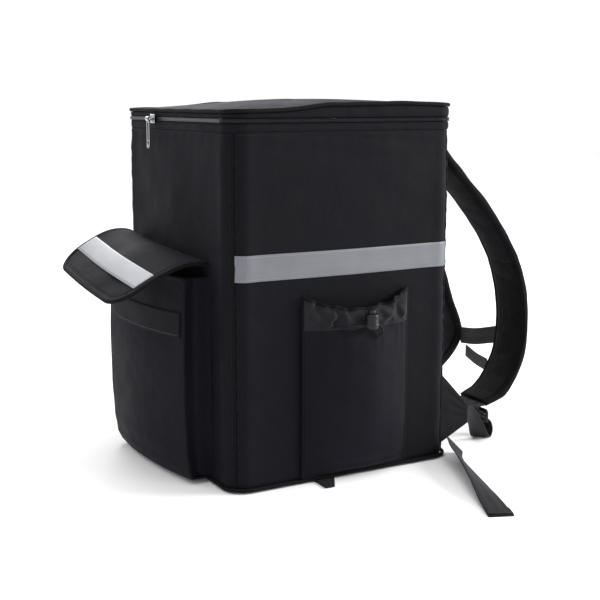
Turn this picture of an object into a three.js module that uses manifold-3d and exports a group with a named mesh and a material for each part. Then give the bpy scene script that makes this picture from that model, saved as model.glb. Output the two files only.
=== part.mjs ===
// Insulated delivery backpack: a padded box with a zipped lid, a flap pocket in front, a bottle pocket
// on each side and a shoulder harness behind. Millimetres, +Z up. The origin is on the ground under the
// middle of the box, +X is the wearer's right side and -Y is the front with the flap pocket.

import * as THREE from 'three';
import { mergeVertices } from 'three/addons/utils/BufferGeometryUtils.js';
import Module from 'manifold-3d';

const wasm = await Module();
wasm.setup();

// Main box
const BODY_WIDTH = 324;
const BODY_DEPTH = 314;
const BODY_HEIGHT = 423;
const BODY_WALL = 6;
const BODY_FLOOR = 8;
const CORNER_RADIUS = 25;
const BASE_ROUNDING = 12;
const BASE_INSET_SHARE = 0.75;
const SIDE_CROWN = 4;
const FRONT_CROWN = 4;
const CORNER_STEPS = 5;
const SIDE_STEPS = 6;

// Gap between pieces that touch, and how far solids that are joined run into each other
const SEAT_GAP = 0.4;
const BUTT_GAP = 0.3;
const OVERRUN = 1;

// Bevel on the edges of padded straps, as a share of half their thickness
const EDGE_CUT = 0.6;

// Lid with its zip
const TAPE_INSET = 1.5;
const TAPE_WALL = 2;
const LOWER_TAPE_HEIGHT = 10;
const CHAIN_HEIGHT = 4.4;
const CHAIN_WALL = 3;
const CHAIN_INSET = 0.2;
const LID_BAND_FRONT = 8.4;
const LID_RISE = 9;
const LID_DOME = 3;
const LID_WALL = 7;
const LID_RING_SHARES = [1, 0.745, 0.55, 0.4];
const PIPING_RADIUS = 2.4;
const PIPING_SIDES = 6;
const LID_PIPING_INSET = 1.2;
const BASE_PIPING_HEIGHT = 4.2;
const BASE_PIPING_PROUD = 0.8;

// Zip slider and its pull
const SLIDER_X = -56;
const SLIDER_LENGTH = 13;
const SLIDER_HEIGHT = 10;
const SLIDER_THICK = 4;
const BRIDGE_RADIUS = 1;
const BRIDGE_REACH = 4.4;
const BRIDGE_LEG = 1.6;
const BRIDGE_LEG_HEIGHT = 3;
const PULL_PLAY = 1;
const PULL_LENGTH = 37;
const PULL_WIDTH = 9;
const PULL_THICK = 2;
const PULL_EYE_RADIUS = 3.1;
const PULL_EYE_HOLE = 1.5;
const PULL_SLOT_WIDTH = 3.6;
const PULL_SLOT_LENGTH = 20;
const PULL_SLOT_REST = 3;

// Front pocket with bellows sides
const POCKET_RIGHT = 104;
const POCKET_LEFT = 108;
const POCKET_TOP = 252;
const POCKET_BOTTOM = 7;
const POCKET_WALL = 2.5;
const GUSSET_RIGHT = 33;
const GUSSET_LEFT = 47;
const POCKET_CROWN = 13;
const GUSSET_FOLD = 6;
const POCKET_COLUMNS = 10;
const CLOSURE_TAPE_LOW = 183;
const CLOSURE_TAPE_WIDTH = 29;
const CLOSURE_TAPE_THICK = 1.2;
const CLOSURE_TAPE_INSET = 6;

// Flap of the front pocket
const FLAP_HINGE_HEIGHT = 272;
const FLAP_REACH = 112;
const FLAP_THICK = 3.4;
const FLAP_CORNER = 30;
const FLAP_OVERHANG = 2;
const FLAP_STAND_OFF = 1.4;
const BINDING_RADIUS = 2.3;
const FLAP_STRIP_START = 0.53;

// Reflective strips
const STRIP_WIDTH = 30;
const FLAP_STRIP_WIDTH = 28;
const STRIP_THICK = 1;
const SIDE_STRIP_LOW = 253.5;

// Bottle pockets
const BOTTLE_WIDTH = 148;
const BOTTLE_CENTRE = 9;
const BOTTLE_BOTTOM = 7.5;
const BOTTLE_TOP = 231;
const BOTTLE_WALL = 2;
const BOTTLE_BULGE = 26;
const MOUTH_SCOOP = 18;
const MOUTH_WAVES = 5;
const MOUTH_WAVE_DEPTH = 1.6;
const MOUTH_GATHER_START = 0.8;
const ARCH_POWER = 0.8;

// Cord lock on the drawcord of each bottle pocket
const LOCK_Y = 12;
const LOCK_LOW = 190;
const LOCK_HEIGHT = 19;
const LOCK_RADIUS = 8.5;
const LOCK_BORE = 5.2;
const BUTTON_RADIUS = 4.7;
const BUTTON_LENGTH = 11;
const BUTTON_PROUD = 5;
const BUTTON_TRAVEL = 3;
const CORD_RADIUS = 1.5;
const CORD_HOLE = 2.3;
const CORD_HEIGHT_IN_LOCK = 5;
const LOCK_STAND_OFF = 1.4;

// Shoulder harness
const STRAP_WIDTH = 65;
const STRAP_THICK = 12;
const STRAP_CENTRE = 87.5;
const STRAP_TOP = 418;
const STRAP_DROP = 372;
const STRAP_REACH = 154;
const STRAP_STEPS = 26;
const STRAP_TAPER = 0.12;
const STRAP_TAPER_LENGTH = 0.07;
const WEBBING_WIDTH = 25;
const WEBBING_THICK = 1.8;
const CHEST_RIGHT_HEIGHT = 127;
const CHEST_LEFT_HEIGHT = 104;
const CHEST_TAIL_HEIGHT = 84;
const CHEST_TAIL_WIDTH = 18;
const CHEST_TAIL_START = 0.55;
const CHEST_TAIL_GAP = 9;
const CHEST_SAG = 2;
const CHEST_BOW = 4;
const PAD_TAB_WIDTH = 54.6;
const PAD_TAB_TAPER = 1.4;
const PAD_TAB_FOLD = 13;
const PAD_TAB_LEAD = 0.2;
const LADDER_WIDTH = 36;
const LADDER_HEIGHT = 20;
const LADDER_THICK = 4;
const LADDER_BAR = 4;
const LADDER_SIDESTEP = 19;
const LADDER_STEP_IN = 4;
const LADDER_DROP = 15;
const LOOP_WIDTH = 24;
const LOOP_CLEARANCE = 0.6;
const TAIL_WIDTH = 30;
const TAIL_OUT = 214;
const TAIL_FORWARD = 95;
const TAIL_CLEARANCE = 0.2;

// Cloth wings that tie the harness to the back seams
const WING_TOP = 104;
const WING_LOW = 22;
const WING_APEX_HEIGHT = 50;
const WING_REACH = 42;
const WING_THICK = 4;
const WING_STAND_OFF = 1.9;
const WING_LEAN = 6;

// Cloth tab under the right side
const TAB_LENGTH = 27;
const TAB_WIDTH = 27;
const TAB_THICK = 2;
const TAB_START = 1.6;
const TAB_FORWARD = 33;
const TAB_TAPER = 0.55;
const TAB_SWEEP = 8;
const TAB_REST = 0.05;

const ACROSS = new THREE.Vector3(1, 0, 0);
const UP = new THREE.Vector3(0, 0, 1);
const HALF_WIDTH = BODY_WIDTH / 2;
const HALF_DEPTH = BODY_DEPTH / 2;
const SIDE_RUN = HALF_DEPTH - CORNER_RADIUS;
const FRONT_RUN = HALF_WIDTH - CORNER_RADIUS;
const CHAIN_LOW = BODY_HEIGHT + BUTT_GAP + LOWER_TAPE_HEIGHT + BUTT_GAP;
const CHAIN_MIDDLE = CHAIN_LOW + CHAIN_HEIGHT / 2;
const LID_BAND_LOW = CHAIN_LOW + CHAIN_HEIGHT + BUTT_GAP;

// Height of the lid's edge above its lowest stretch, from the front of the bag to its back
const LID_EDGE = [
  { along: 0.0, rise: 0.0 },
  { along: 0.18, rise: 0.1 },
  { along: 0.45, rise: 0.85 },
  { along: 0.75, rise: 1.0 },
  { along: 1.0, rise: 0.75 },
];

// Depth of the front pocket up its height, as a share of the gussets' depth
const POCKET_DEPTHS = [
  { up: 0.0, depth: 0.8 },
  { up: 0.06, depth: 0.9 },
  { up: 0.16, depth: 0.97 },
  { up: 0.34, depth: 1.02 },
  { up: 0.6, depth: 1.03 },
  { up: 0.85, depth: 0.99 },
  { up: 1.0, depth: 0.93 },
];

// Bulge of a bottle pocket up its height, as a share of its largest bulge
const BOTTLE_BULGES = [
  { up: 0.0, bulge: 0.0 },
  { up: 0.04, bulge: 0.42 },
  { up: 0.12, bulge: 0.72 },
  { up: 0.3, bulge: 0.94 },
  { up: 0.55, bulge: 1.0 },
  { up: 0.78, bulge: 0.93 },
  { up: 0.9, bulge: 0.76 },
  { up: 1.0, bulge: 0.66 },
];

// Flap seen from its two ends: reach from the box and height over the hinge, as shares of its reach
const FLAP_PROFILE = [
  { rightOut: 0.0, rightUp: -0.02, leftOut: 0.0, leftUp: 0.06 },
  { rightOut: 0.26, rightUp: -0.02, leftOut: 0.16, leftUp: 0.15 },
  { rightOut: 0.52, rightUp: -0.11, leftOut: 0.38, leftUp: 0.15 },
  { rightOut: 0.78, rightUp: -0.24, leftOut: 0.68, leftUp: 0.02 },
  { rightOut: 1.04, rightUp: -0.39, leftOut: 1.0, leftUp: -0.2 },
];

// Shoulder straps from the top seam down: reach behind the back panel and drop, as shares
const RIGHT_STRAP = [
  { out: -0.008, down: 0.0 },
  { out: -0.005, down: 0.03 },
  { out: 0.06, down: 0.066 },
  { out: 0.28, down: 0.16 },
  { out: 0.5, down: 0.253 },
  { out: 0.68, down: 0.344 },
  { out: 0.855, down: 0.457 },
  { out: 0.958, down: 0.567 },
  { out: 1.0, down: 0.699 },
  { out: 0.985, down: 0.806 },
  { out: 0.91, down: 0.892 },
  { out: 0.765, down: 0.968 },
  { out: 0.585, down: 1.0 },
];
const LEFT_STRAP = [
  { out: -0.008, down: 0.0 },
  { out: -0.005, down: 0.03 },
  { out: 0.06, down: 0.066 },
  { out: 0.28, down: 0.16 },
  { out: 0.48, down: 0.253 },
  { out: 0.655, down: 0.344 },
  { out: 0.8, down: 0.457 },
  { out: 0.91, down: 0.567 },
  { out: 1.01, down: 0.685 },
  { out: 1.11, down: 0.78 },
  { out: 1.14, down: 0.835 },
  { out: 1.08, down: 0.892 },
  { out: 0.94, down: 0.95 },
  { out: 0.77, down: 0.99 },
  { out: 0.585, down: 1.0 },
];

// Drawcord past the cord lock. along and drop are from the lock's cross hole, in lock heights, and proud
// runs from 0 on the pocket to 1 on the lock's axis.
const CORD_ROUTE = [
  { along: -1.26, proud: 0.0, drop: 0.0 },
  { along: -0.95, proud: 0.64, drop: 0.0 },
  { along: -0.5, proud: 0.95, drop: 0.0 },
  { along: 0.0, proud: 1.0, drop: 0.0 },
  { along: 0.5, proud: 0.99, drop: 0.0 },
  { along: 0.82, proud: 0.85, drop: 0.26 },
  { along: 0.89, proud: 0.72, drop: 0.63 },
  { along: 0.68, proud: 0.12, drop: 0.84 },
];

// Tab at the end of a shoulder strap: across to the lock, folded in towards the box, then into the slot
const PAD_TAB_ROUTE = [
  { across: 0.26, fold: 1.0, rise: 0.73 },
  { across: 0.79, fold: 1.15, rise: 0.45 },
  { across: 0.95, fold: 1.0, rise: 0.045 },
  { across: 1.0, fold: 0.54, rise: 0.0 },
  { across: 1.0, fold: 0.08, rise: 0.0 },
];

// Slack webbing from the ladder lock to the wing, as shares of the way and of the wing's height
const LOOP_ROUTE = [
  { over: 0.022, out: -0.017, rise: 0.526 },
  { over: -0.044, out: 0.034, rise: 0.526 },
  { over: -0.1, out: 0.08, rise: 0.41 },
  { over: -0.09, out: 0.1, rise: 0.17 },
  { over: 0.01, out: 0.081, rise: 0.0 },
  { over: 0.18, out: 0.069, rise: 0.05 },
  { over: 0.34, out: 0.063, rise: 0.24 },
  { over: 0.5, out: 0.06, rise: 0.46 },
  { over: 0.66, out: 0.046, rise: 0.69 },
  { over: 0.83, out: 0.024, rise: 0.9 },
  { over: 0.988, out: 0.007, rise: 1.0 },
];

// Loose end from the wing forward beside the bag: shares of its reach, and its lean in degrees
const TAIL_ROUTE = [
  { out: 0.0, forward: -0.01, lean: 44 },
  { out: 0.093, forward: 0.137, lean: 52 },
  { out: 0.178, forward: 0.242, lean: 50 },
  { out: 0.29, forward: 0.347, lean: 48 },
  { out: 0.467, forward: 0.505, lean: 40 },
  { out: 0.636, forward: 0.663, lean: 30 },
  { out: 0.822, forward: 0.832, lean: 10 },
  { out: 1.0, forward: 1.0, lean: 0 },
];

// Small helpers

function clamp01(value) {
  return Math.min(1, Math.max(0, value));
}

// Reads a named column of a short table at any place, with a smooth curve through its rows.
function fromTable(rows, key, column, at) {
  let i = 0;
  while (i < rows.length - 2 && at > rows[i + 1][key]) i++;
  const share = clamp01((at - rows[i][key]) / (rows[i + 1][key] - rows[i][key]));
  const eased = share * share * (3 - 2 * share);
  return rows[i][column] + (rows[i + 1][column] - rows[i][column]) * eased;
}

function signedVolume(position, index) {
  const a = new THREE.Vector3();
  const b = new THREE.Vector3();
  const c = new THREE.Vector3();
  let volume = 0;
  for (let i = 0; i < index.length; i += 3) {
    a.fromArray(position, 3 * index[i]);
    b.fromArray(position, 3 * index[i + 1]);
    c.fromArray(position, 3 * index[i + 2]);
    volume += a.dot(b.cross(c)) / 6;
  }
  return volume;
}

// A geometry of merged points and triangles that all face out.
function closedBody(points, triangles) {
  const position = points.flatMap((p) => [p.x, p.y, p.z]);
  let index = triangles;
  if (signedVolume(position, index) < 0) {
    index = triangles.map((_, i) => triangles[i - (i % 3) + 2 - (i % 3)]);
  }
  const geometry = new THREE.BufferGeometry();
  geometry.setAttribute('position', new THREE.Float32BufferAttribute(position, 3));
  geometry.setIndex(index);
  return geometry;
}

// Joins rings of like point counts into one body, with a fan over each end, or end to end when looped.
function loft(rings, looped = false) {
  const points = rings.flat();
  const count = rings[0].length;
  const triangles = [];
  const spans = looped ? rings.length : rings.length - 1;
  for (let i = 0; i < spans; i++) {
    const low = i * count;
    const high = ((i + 1) % rings.length) * count;
    for (let j = 0; j < count; j++) {
      const next = (j + 1) % count;
      triangles.push(low + j, low + next, high + next, low + j, high + next, high + j);
    }
  }
  if (!looped) {
    for (const [start, first, second] of [[0, 1, 0], [(rings.length - 1) * count, 0, 1]]) {
      const middle = new THREE.Vector3();
      for (let j = 0; j < count; j++) middle.add(points[start + j]);
      points.push(middle.divideScalar(count));
      for (let j = 0; j < count; j++) {
        const edge = [start + j, start + ((j + 1) % count)];
        triangles.push(points.length - 1, edge[first], edge[second]);
      }
    }
  }
  return closedBody(points, triangles);
}

// A wall between two grids of points of one size, closed along its four edges.
function wall(front, back) {
  const columns = front.length;
  const rows = front[0].length;
  const points = [...front.flat(), ...back.flat()];
  const offset = columns * rows;
  const triangles = [];
  const quad = (a, b, c, d) => triangles.push(a, b, c, a, c, d);
  const at = (i, j) => i * rows + j;
  for (let i = 0; i < columns - 1; i++) {
    for (let j = 0; j < rows - 1; j++) {
      quad(at(i, j), at(i + 1, j), at(i + 1, j + 1), at(i, j + 1));
      quad(offset + at(i, j), offset + at(i, j + 1), offset + at(i + 1, j + 1), offset + at(i + 1, j));
    }
    quad(at(i, 0), offset + at(i, 0), offset + at(i + 1, 0), at(i + 1, 0));
    quad(at(i, rows - 1), at(i + 1, rows - 1), offset + at(i + 1, rows - 1), offset + at(i, rows - 1));
  }
  for (let j = 0; j < rows - 1; j++) {
    quad(at(0, j), at(0, j + 1), offset + at(0, j + 1), offset + at(0, j));
    const last = columns - 1;
    quad(at(last, j), offset + at(last, j), offset + at(last, j + 1), at(last, j + 1));
  }
  return closedBody(points, triangles);
}

// A sheet of cloth of even thickness whose middle surface is at(u, v), with u and v from 0 to 1.
function sheet(at, thickness, columns, rows, spread = (u) => u) {
  const step = 1e-3;
  const front = [];
  const back = [];
  for (let i = 0; i <= columns; i++) {
    const u = spread(i / columns);
    front.push([]);
    back.push([]);
    for (let j = 0; j <= rows; j++) {
      const v = j / rows;
      const across = at(Math.min(1, u + step), v).sub(at(Math.max(0, u - step), v));
      const along = at(u, Math.min(1, v + step)).sub(at(u, Math.max(0, v - step)));
      const half = across.cross(along).normalize().multiplyScalar(thickness / 2);
      front[i].push(at(u, v).add(half));
      back[i].push(at(u, v).sub(half));
    }
  }
  return wall(front, back);
}

// Columns that stand closer together at both ends.
function towardsEnds(u) {
  return 0.5 - 0.5 * Math.cos(Math.PI * u);
}

// A flat strap carried along a path. side(t) points across the strap and width(t) is its width there.
// A square strap is cut square to its path, and any other keeps side(t) as it is.
function strap(path, side, width, thickness, steps, rounded = false, square = true) {
  const rings = [];
  for (let i = 0; i <= steps; i++) {
    const t = i / steps;
    const centre = path.getPoint(t);
    const along = path.getTangent(t);
    const across = side(t).clone();
    if (square) across.addScaledVector(along, -across.dot(along));
    across.normalize();
    const up = new THREE.Vector3().crossVectors(along, across).normalize();
    const w = width(t) / 2;
    const h = thickness / 2;
    const cut = h * EDGE_CUT;
    const half = rounded ? [[w, -h + cut], [w, h - cut], [w - cut, h], [-w + cut, h]] : [[w, -h], [w, h]];
    const corners = [...half, ...half.map(([a, b]) => [-a, -b])];
    rings.push(corners.map(([a, b]) => centre.clone().addScaledVector(across, a).addScaledVector(up, b)));
  }
  return loft(rings);
}

function curveThrough(points) {
  return new THREE.CatmullRomCurve3(points.map((p) => new THREE.Vector3(...p)), false, 'centripetal');
}

// The same body on the other side of the bag.
function mirrored(geometry) {
  const copy = geometry.clone();
  const values = copy.getAttribute('position').array;
  const position = Array.from(values, (value, i) => (i % 3 === 0 ? -value : value));
  const points = [];
  for (let i = 0; i < position.length; i += 3) points.push(new THREE.Vector3(...position.slice(i, i + 3)));
  return closedBody(points, Array.from(copy.index.array));
}

function toSolid(geometry) {
  const bare = geometry.clone();
  bare.deleteAttribute('normal');
  bare.deleteAttribute('uv');
  const merged = mergeVertices(bare, 1e-4);
  const mesh = new wasm.Mesh({
    numProp: 3,
    vertProperties: Float32Array.from(merged.getAttribute('position').array),
    triVerts: Uint32Array.from(merged.index.array),
  });
  return new wasm.Manifold(mesh);
}

function toGeometry(solid) {
  const mesh = solid.getMesh();
  const points = [];
  for (let i = 0; i < mesh.vertProperties.length; i += mesh.numProp) {
    points.push(new THREE.Vector3(...mesh.vertProperties.slice(i, i + 3)));
  }
  return closedBody(points, Array.from(mesh.triVerts));
}

// A cylinder along X, Y or Z.
function rod(radius, length, axis, sides, centre) {
  const geometry = new THREE.CylinderGeometry(radius, radius, length, sides);
  if (axis === 'x') geometry.rotateZ(Math.PI / 2);
  if (axis === 'z') geometry.rotateX(Math.PI / 2);
  return geometry.translate(...centre);
}

function block(size, centre) {
  return new THREE.BoxGeometry(...size).translate(...centre);
}

// Outline of the box

// How far the padded walls stand out at a height, from 0 at the top and bottom seams to 1 between.
function swell(z) {
  const share = clamp01(z / BODY_HEIGHT);
  return 1 - Math.pow(2 * share - 1, 4);
}

function crownAt(place, run, crown, z) {
  return crown * swell(z) * Math.cos((Math.PI * place) / (2 * run)) ** 2;
}

// Points round the box, counter-clockwise from the right side's back corner, moved out by grow.
function outline(grow, z) {
  const points = [];
  const corners = [[1, 1], [-1, 1], [-1, -1], [1, -1]];
  corners.forEach(([sx, sy], quarter) => {
    for (let i = 0; i <= CORNER_STEPS; i++) {
      const angle = ((quarter + i / CORNER_STEPS) * Math.PI) / 2;
      const reach = CORNER_RADIUS + grow;
      points.push(new THREE.Vector3(
        sx * FRONT_RUN + reach * Math.cos(angle),
        sy * SIDE_RUN + reach * Math.sin(angle),
        z,
      ));
    }
    for (let i = 1; i < SIDE_STEPS; i++) {
      const share = 1 - (2 * i) / SIDE_STEPS;
      const x = share * FRONT_RUN;
      const y = share * SIDE_RUN;
      const runs = [
        [x, HALF_DEPTH + grow],
        [-sideX(y, z) - grow, y],
        [-x, frontY(x, z) - grow],
        [sideX(y, z) + grow, -y],
      ];
      points.push(new THREE.Vector3(...runs[quarter], z));
    }
  });
  return points;
}

// X of the right side's surface.
function sideX(y, z) {
  const over = Math.abs(y) - SIDE_RUN;
  if (over <= 0) return HALF_WIDTH + crownAt(y, SIDE_RUN, SIDE_CROWN, z);
  return FRONT_RUN + Math.sqrt(Math.max(0, CORNER_RADIUS ** 2 - over ** 2));
}

// Y of the front's surface.
function frontY(x, z) {
  const over = Math.abs(x) - FRONT_RUN;
  if (over <= 0) return -HALF_DEPTH - crownAt(x, FRONT_RUN, FRONT_CROWN, z);
  return -SIDE_RUN - Math.sqrt(Math.max(0, CORNER_RADIUS ** 2 - over ** 2));
}

// A closed band round the box. profile(point) lists its section as pairs of grow and height.
function bandAround(profile) {
  const base = outline(0, CHAIN_MIDDLE);
  const layers = profile(base[0]).map(([grow]) => outline(grow, CHAIN_MIDDLE));
  const rings = base.map((point, k) => profile(point).map(([, z], i) => layers[i][k].clone().setZ(z)));
  return loft(rings, true);
}

// Round section of a piping whose middle is set in from the box by inset, at heightAt(point).
function circleProfile(inset, heightAt) {
  return (point) => Array.from({ length: PIPING_SIDES }, (_, i) => {
    const angle = (i * 2 * Math.PI) / PIPING_SIDES;
    return [PIPING_RADIUS * Math.cos(angle) - inset, heightAt(point) + PIPING_RADIUS * Math.sin(angle)];
  });
}

// Box and lid

function bodyShell() {
  const rings = [];
  const rounding = [0, 0.12, 0.35, 0.65, 1];
  for (const share of rounding) {
    const z = share * BASE_ROUNDING;
    const inset = BASE_ROUNDING - Math.sqrt(BASE_ROUNDING ** 2 - (BASE_ROUNDING - z) ** 2);
    rings.push(outline(-inset * BASE_INSET_SHARE, z));
  }
  const upright = [0.15, 0.3, 0.45, 0.6, 0.75, 0.9];
  for (const share of upright) rings.push(outline(0, share * BODY_HEIGHT));
  rings.push(outline(-TAPE_INSET, BODY_HEIGHT));
  rings.push(outline(-TAPE_INSET - BODY_WALL, BODY_HEIGHT));
  for (const share of [0.75, 0.5, 0.25]) rings.push(outline(-BODY_WALL, share * BODY_HEIGHT));
  rings.push(outline(-BODY_WALL - BASE_ROUNDING / 2, BODY_FLOOR));
  return loft(rings);
}

function lidEdge(point) {
  const along = (point.y + HALF_DEPTH) / BODY_DEPTH;
  return LID_BAND_LOW + LID_BAND_FRONT + LID_RISE * fromTable(LID_EDGE, 'along', 'rise', along);
}

function flatBand(low, high, inset, thick) {
  const inner = -inset - thick;
  return bandAround((point) => [[-inset, low], [-inset, high(point)], [inner, high(point)], [inner, low]]);
}

// The lid's padded top: rings shrink towards the middle, which stands LID_DOME over the highest edge.
function lidPanel() {
  const inset = LID_PIPING_INSET + PIPING_RADIUS + BUTT_GAP;
  const edge = outline(-inset, CHAIN_MIDDLE);
  const top = LID_BAND_LOW + LID_BAND_FRONT + LID_RISE + LID_DOME;
  const layer = (share, drop) => edge.map((point) => {
    const height = lidEdge(point) + (top - lidEdge(point)) * (1 - share * share);
    return new THREE.Vector3(point.x * share, point.y * share, height - drop);
  });
  const upper = LID_RING_SHARES.map((share) => layer(share, 0)).reverse();
  const lower = LID_RING_SHARES.map((share) => layer(share, LID_WALL));
  return loft([...upper, ...lower]);
}

// Zip slider on the front run of the chain, with a bridge whose bar carries the pull.
const SLIDER_FACE = -HALF_DEPTH + CHAIN_INSET - SEAT_GAP;
const BRIDGE_Y = SLIDER_FACE - SLIDER_THICK - BRIDGE_REACH;

function zipSlider() {
  const plate = toSolid(block(
    [SLIDER_LENGTH, SLIDER_THICK, SLIDER_HEIGHT],
    [SLIDER_X, SLIDER_FACE - SLIDER_THICK / 2, CHAIN_MIDDLE],
  ));
  const legX = (SLIDER_LENGTH - BRIDGE_LEG) / 2;
  const legLength = BRIDGE_REACH + BRIDGE_RADIUS + OVERRUN;
  const legY = SLIDER_FACE - SLIDER_THICK + OVERRUN - legLength / 2;
  let solid = plate;
  for (const side of [-1, 1]) {
    const centre = [SLIDER_X + side * legX, legY, CHAIN_MIDDLE];
    const leg = block([BRIDGE_LEG, legLength, BRIDGE_LEG_HEIGHT], centre);
    solid = solid.add(toSolid(leg));
  }
  const bar = rod(BRIDGE_RADIUS, SLIDER_LENGTH - BRIDGE_LEG, 'x', 10, [SLIDER_X, BRIDGE_Y, CHAIN_MIDDLE]);
  return toGeometry(solid.add(toSolid(bar)));
}

// Pull: a slotted plate that hangs from a rolled eye round the bridge's bar.
function zipPull() {
  const w = PULL_WIDTH / 2;
  const top = -(PULL_EYE_HOLE + PULL_EYE_RADIUS) / 2;
  const shape = new THREE.Shape();
  shape.moveTo(-w, top);
  shape.lineTo(-w, -PULL_LENGTH + w);
  shape.absarc(0, -PULL_LENGTH + w, w, Math.PI, 2 * Math.PI, false);
  shape.lineTo(w, top);
  shape.closePath();
  const slot = new THREE.Path();
  const s = PULL_SLOT_WIDTH / 2;
  const slotLow = -PULL_LENGTH + w + PULL_SLOT_REST;
  slot.moveTo(-s, slotLow);
  slot.lineTo(-s, slotLow + PULL_SLOT_LENGTH);
  slot.lineTo(s, slotLow + PULL_SLOT_LENGTH);
  slot.lineTo(s, slotLow);
  slot.closePath();
  shape.holes.push(slot);
  const cut = { depth: PULL_THICK, bevelEnabled: false, curveSegments: 5 };
  const plate = new THREE.ExtrudeGeometry(shape, cut);
  plate.rotateX(Math.PI / 2).translate(SLIDER_X, BRIDGE_Y + PULL_THICK / 2, CHAIN_MIDDLE);
  const eyeLength = SLIDER_LENGTH - 2 * BRIDGE_LEG - PULL_PLAY;
  const holeLength = eyeLength + 2 * OVERRUN;
  const eye = toSolid(rod(PULL_EYE_RADIUS, eyeLength, 'x', 14, [SLIDER_X, BRIDGE_Y, CHAIN_MIDDLE]));
  const hole = toSolid(rod(PULL_EYE_HOLE, holeLength, 'x', 12, [SLIDER_X, BRIDGE_Y, CHAIN_MIDDLE]));
  return toGeometry(toSolid(plate).add(eye).subtract(hole));
}

// Front pocket and its flap

// Y of the pocket's front panel at x, for the outer face.
function pocketFaceY(x, z) {
  const up = clamp01((z - POCKET_BOTTOM) / (POCKET_TOP - POCKET_BOTTOM));
  const depth = fromTable(POCKET_DEPTHS, 'up', 'depth', up);
  const share = clamp01((POCKET_RIGHT - x) / (POCKET_RIGHT + POCKET_LEFT));
  const gusset = GUSSET_RIGHT + (GUSSET_LEFT - GUSSET_RIGHT) * share;
  return -HALF_DEPTH - depth * (gusset + POCKET_CROWN * Math.sin(Math.PI * share) ** 0.8);
}

// Plan of the pocket at a height: the two folded gussets and the crowned front, pulled in by inset.
function pocketPlan(z, inset, backY) {
  const right = POCKET_RIGHT - inset;
  const left = -POCKET_LEFT + inset;
  const rightY = pocketFaceY(POCKET_RIGHT, z) + inset;
  const leftY = pocketFaceY(-POCKET_LEFT, z) + inset;
  const middle = (cornerY) => (cornerY - HALF_DEPTH) / 2;
  const plan = [[right, backY], [right, -HALF_DEPTH], [right - GUSSET_FOLD, middle(rightY)]];
  for (let i = 0; i <= POCKET_COLUMNS; i++) {
    const x = right + (left - right) * towardsEnds(i / POCKET_COLUMNS);
    plan.push([x, pocketFaceY(x, z) + inset]);
  }
  plan.push([left + GUSSET_FOLD, middle(leftY)], [left, -HALF_DEPTH], [left, backY]);
  return plan.map(([x, y]) => new THREE.Vector3(x, y, z));
}

function frontPocket() {
  const heights = POCKET_DEPTHS.map((row) => POCKET_BOTTOM + row.up * (POCKET_TOP - POCKET_BOTTOM));
  const outer = toSolid(loft(heights.map((z) => pocketPlan(z, 0, -SIDE_RUN))));
  const innerHeights = [POCKET_BOTTOM + POCKET_WALL, ...heights.slice(1), POCKET_TOP + OVERRUN];
  const inner = toSolid(loft(innerHeights.map((z) => pocketPlan(z, POCKET_WALL, -SIDE_RUN + OVERRUN))));
  const boxHeights = [0, 0.25, 0.5, 0.75, 1].map((share) => share * BODY_HEIGHT);
  const box = toSolid(loft(boxHeights.map((z) => outline(SEAT_GAP, z))));
  return toGeometry(outer.subtract(inner).subtract(box));
}

function closureTape() {
  const right = POCKET_RIGHT - CLOSURE_TAPE_INSET;
  const left = -POCKET_LEFT + CLOSURE_TAPE_INSET;
  const at = (u, v) => {
    const x = right + (left - right) * u;
    const z = CLOSURE_TAPE_LOW + v * CLOSURE_TAPE_WIDTH;
    return new THREE.Vector3(x, pocketFaceY(x, z) - SEAT_GAP - CLOSURE_TAPE_THICK / 2, z);
  };
  return sheet(at, CLOSURE_TAPE_THICK, 14, 2);
}

// Curves of the flap's two ends, which every point between them is blended from.
function flapEnd(out, up) {
  return curveThrough(FLAP_PROFILE.map((row) => [0, -FLAP_REACH * row[out], FLAP_REACH * row[up]]));
}
const FLAP_RIGHT = flapEnd('rightOut', 'rightUp');
const FLAP_LEFT = flapEnd('leftOut', 'leftUp');
const FLAP_LENGTH = FLAP_RIGHT.getLength();
const FLAP_HALF = (POCKET_RIGHT + POCKET_LEFT) / 2 + FLAP_OVERHANG;
const FLAP_MIDDLE = (POCKET_RIGHT - POCKET_LEFT) / 2;

// A point of the flap's middle surface: across from its middle, along from its hinge, both in mm.
function flapPoint(across, along, lift = 0) {
  const share = clamp01(0.5 - across / (2 * FLAP_HALF));
  const t = clamp01(along / FLAP_LENGTH);
  const right = FLAP_RIGHT.getPointAt(t);
  const left = FLAP_LEFT.getPointAt(t);
  const x = FLAP_MIDDLE + across;
  const start = frontY(x, FLAP_HINGE_HEIGHT) - SEAT_GAP - FLAP_STAND_OFF;
  const point = right.lerp(left, share);
  point.set(x, start + point.y, FLAP_HINGE_HEIGHT + point.z);
  if (lift === 0) return point;
  const step = 1;
  const alongWay = flapPoint(across, along + step).sub(flapPoint(across, along - step));
  const acrossWay = flapPoint(across + step, along).sub(flapPoint(across - step, along));
  return point.addScaledVector(alongWay.cross(acrossWay).normalize(), lift);
}

// How far the flap reaches at a place across it, with its two free corners rounded.
function flapReach(across, inset) {
  const half = FLAP_HALF - inset;
  const radius = FLAP_CORNER - inset;
  const over = Math.max(0, Math.abs(across) - (half - radius));
  return FLAP_LENGTH - inset - radius + Math.sqrt(Math.max(0, radius ** 2 - over ** 2));
}

function flapPanel() {
  const inset = BINDING_RADIUS + 2 * BUTT_GAP;
  const at = (u, v) => {
    const across = (2 * u - 1) * (FLAP_HALF - inset);
    return flapPoint(across, v * flapReach(across, inset));
  };
  return sheet(at, FLAP_THICK, 12, 8, towardsEnds);
}

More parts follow.
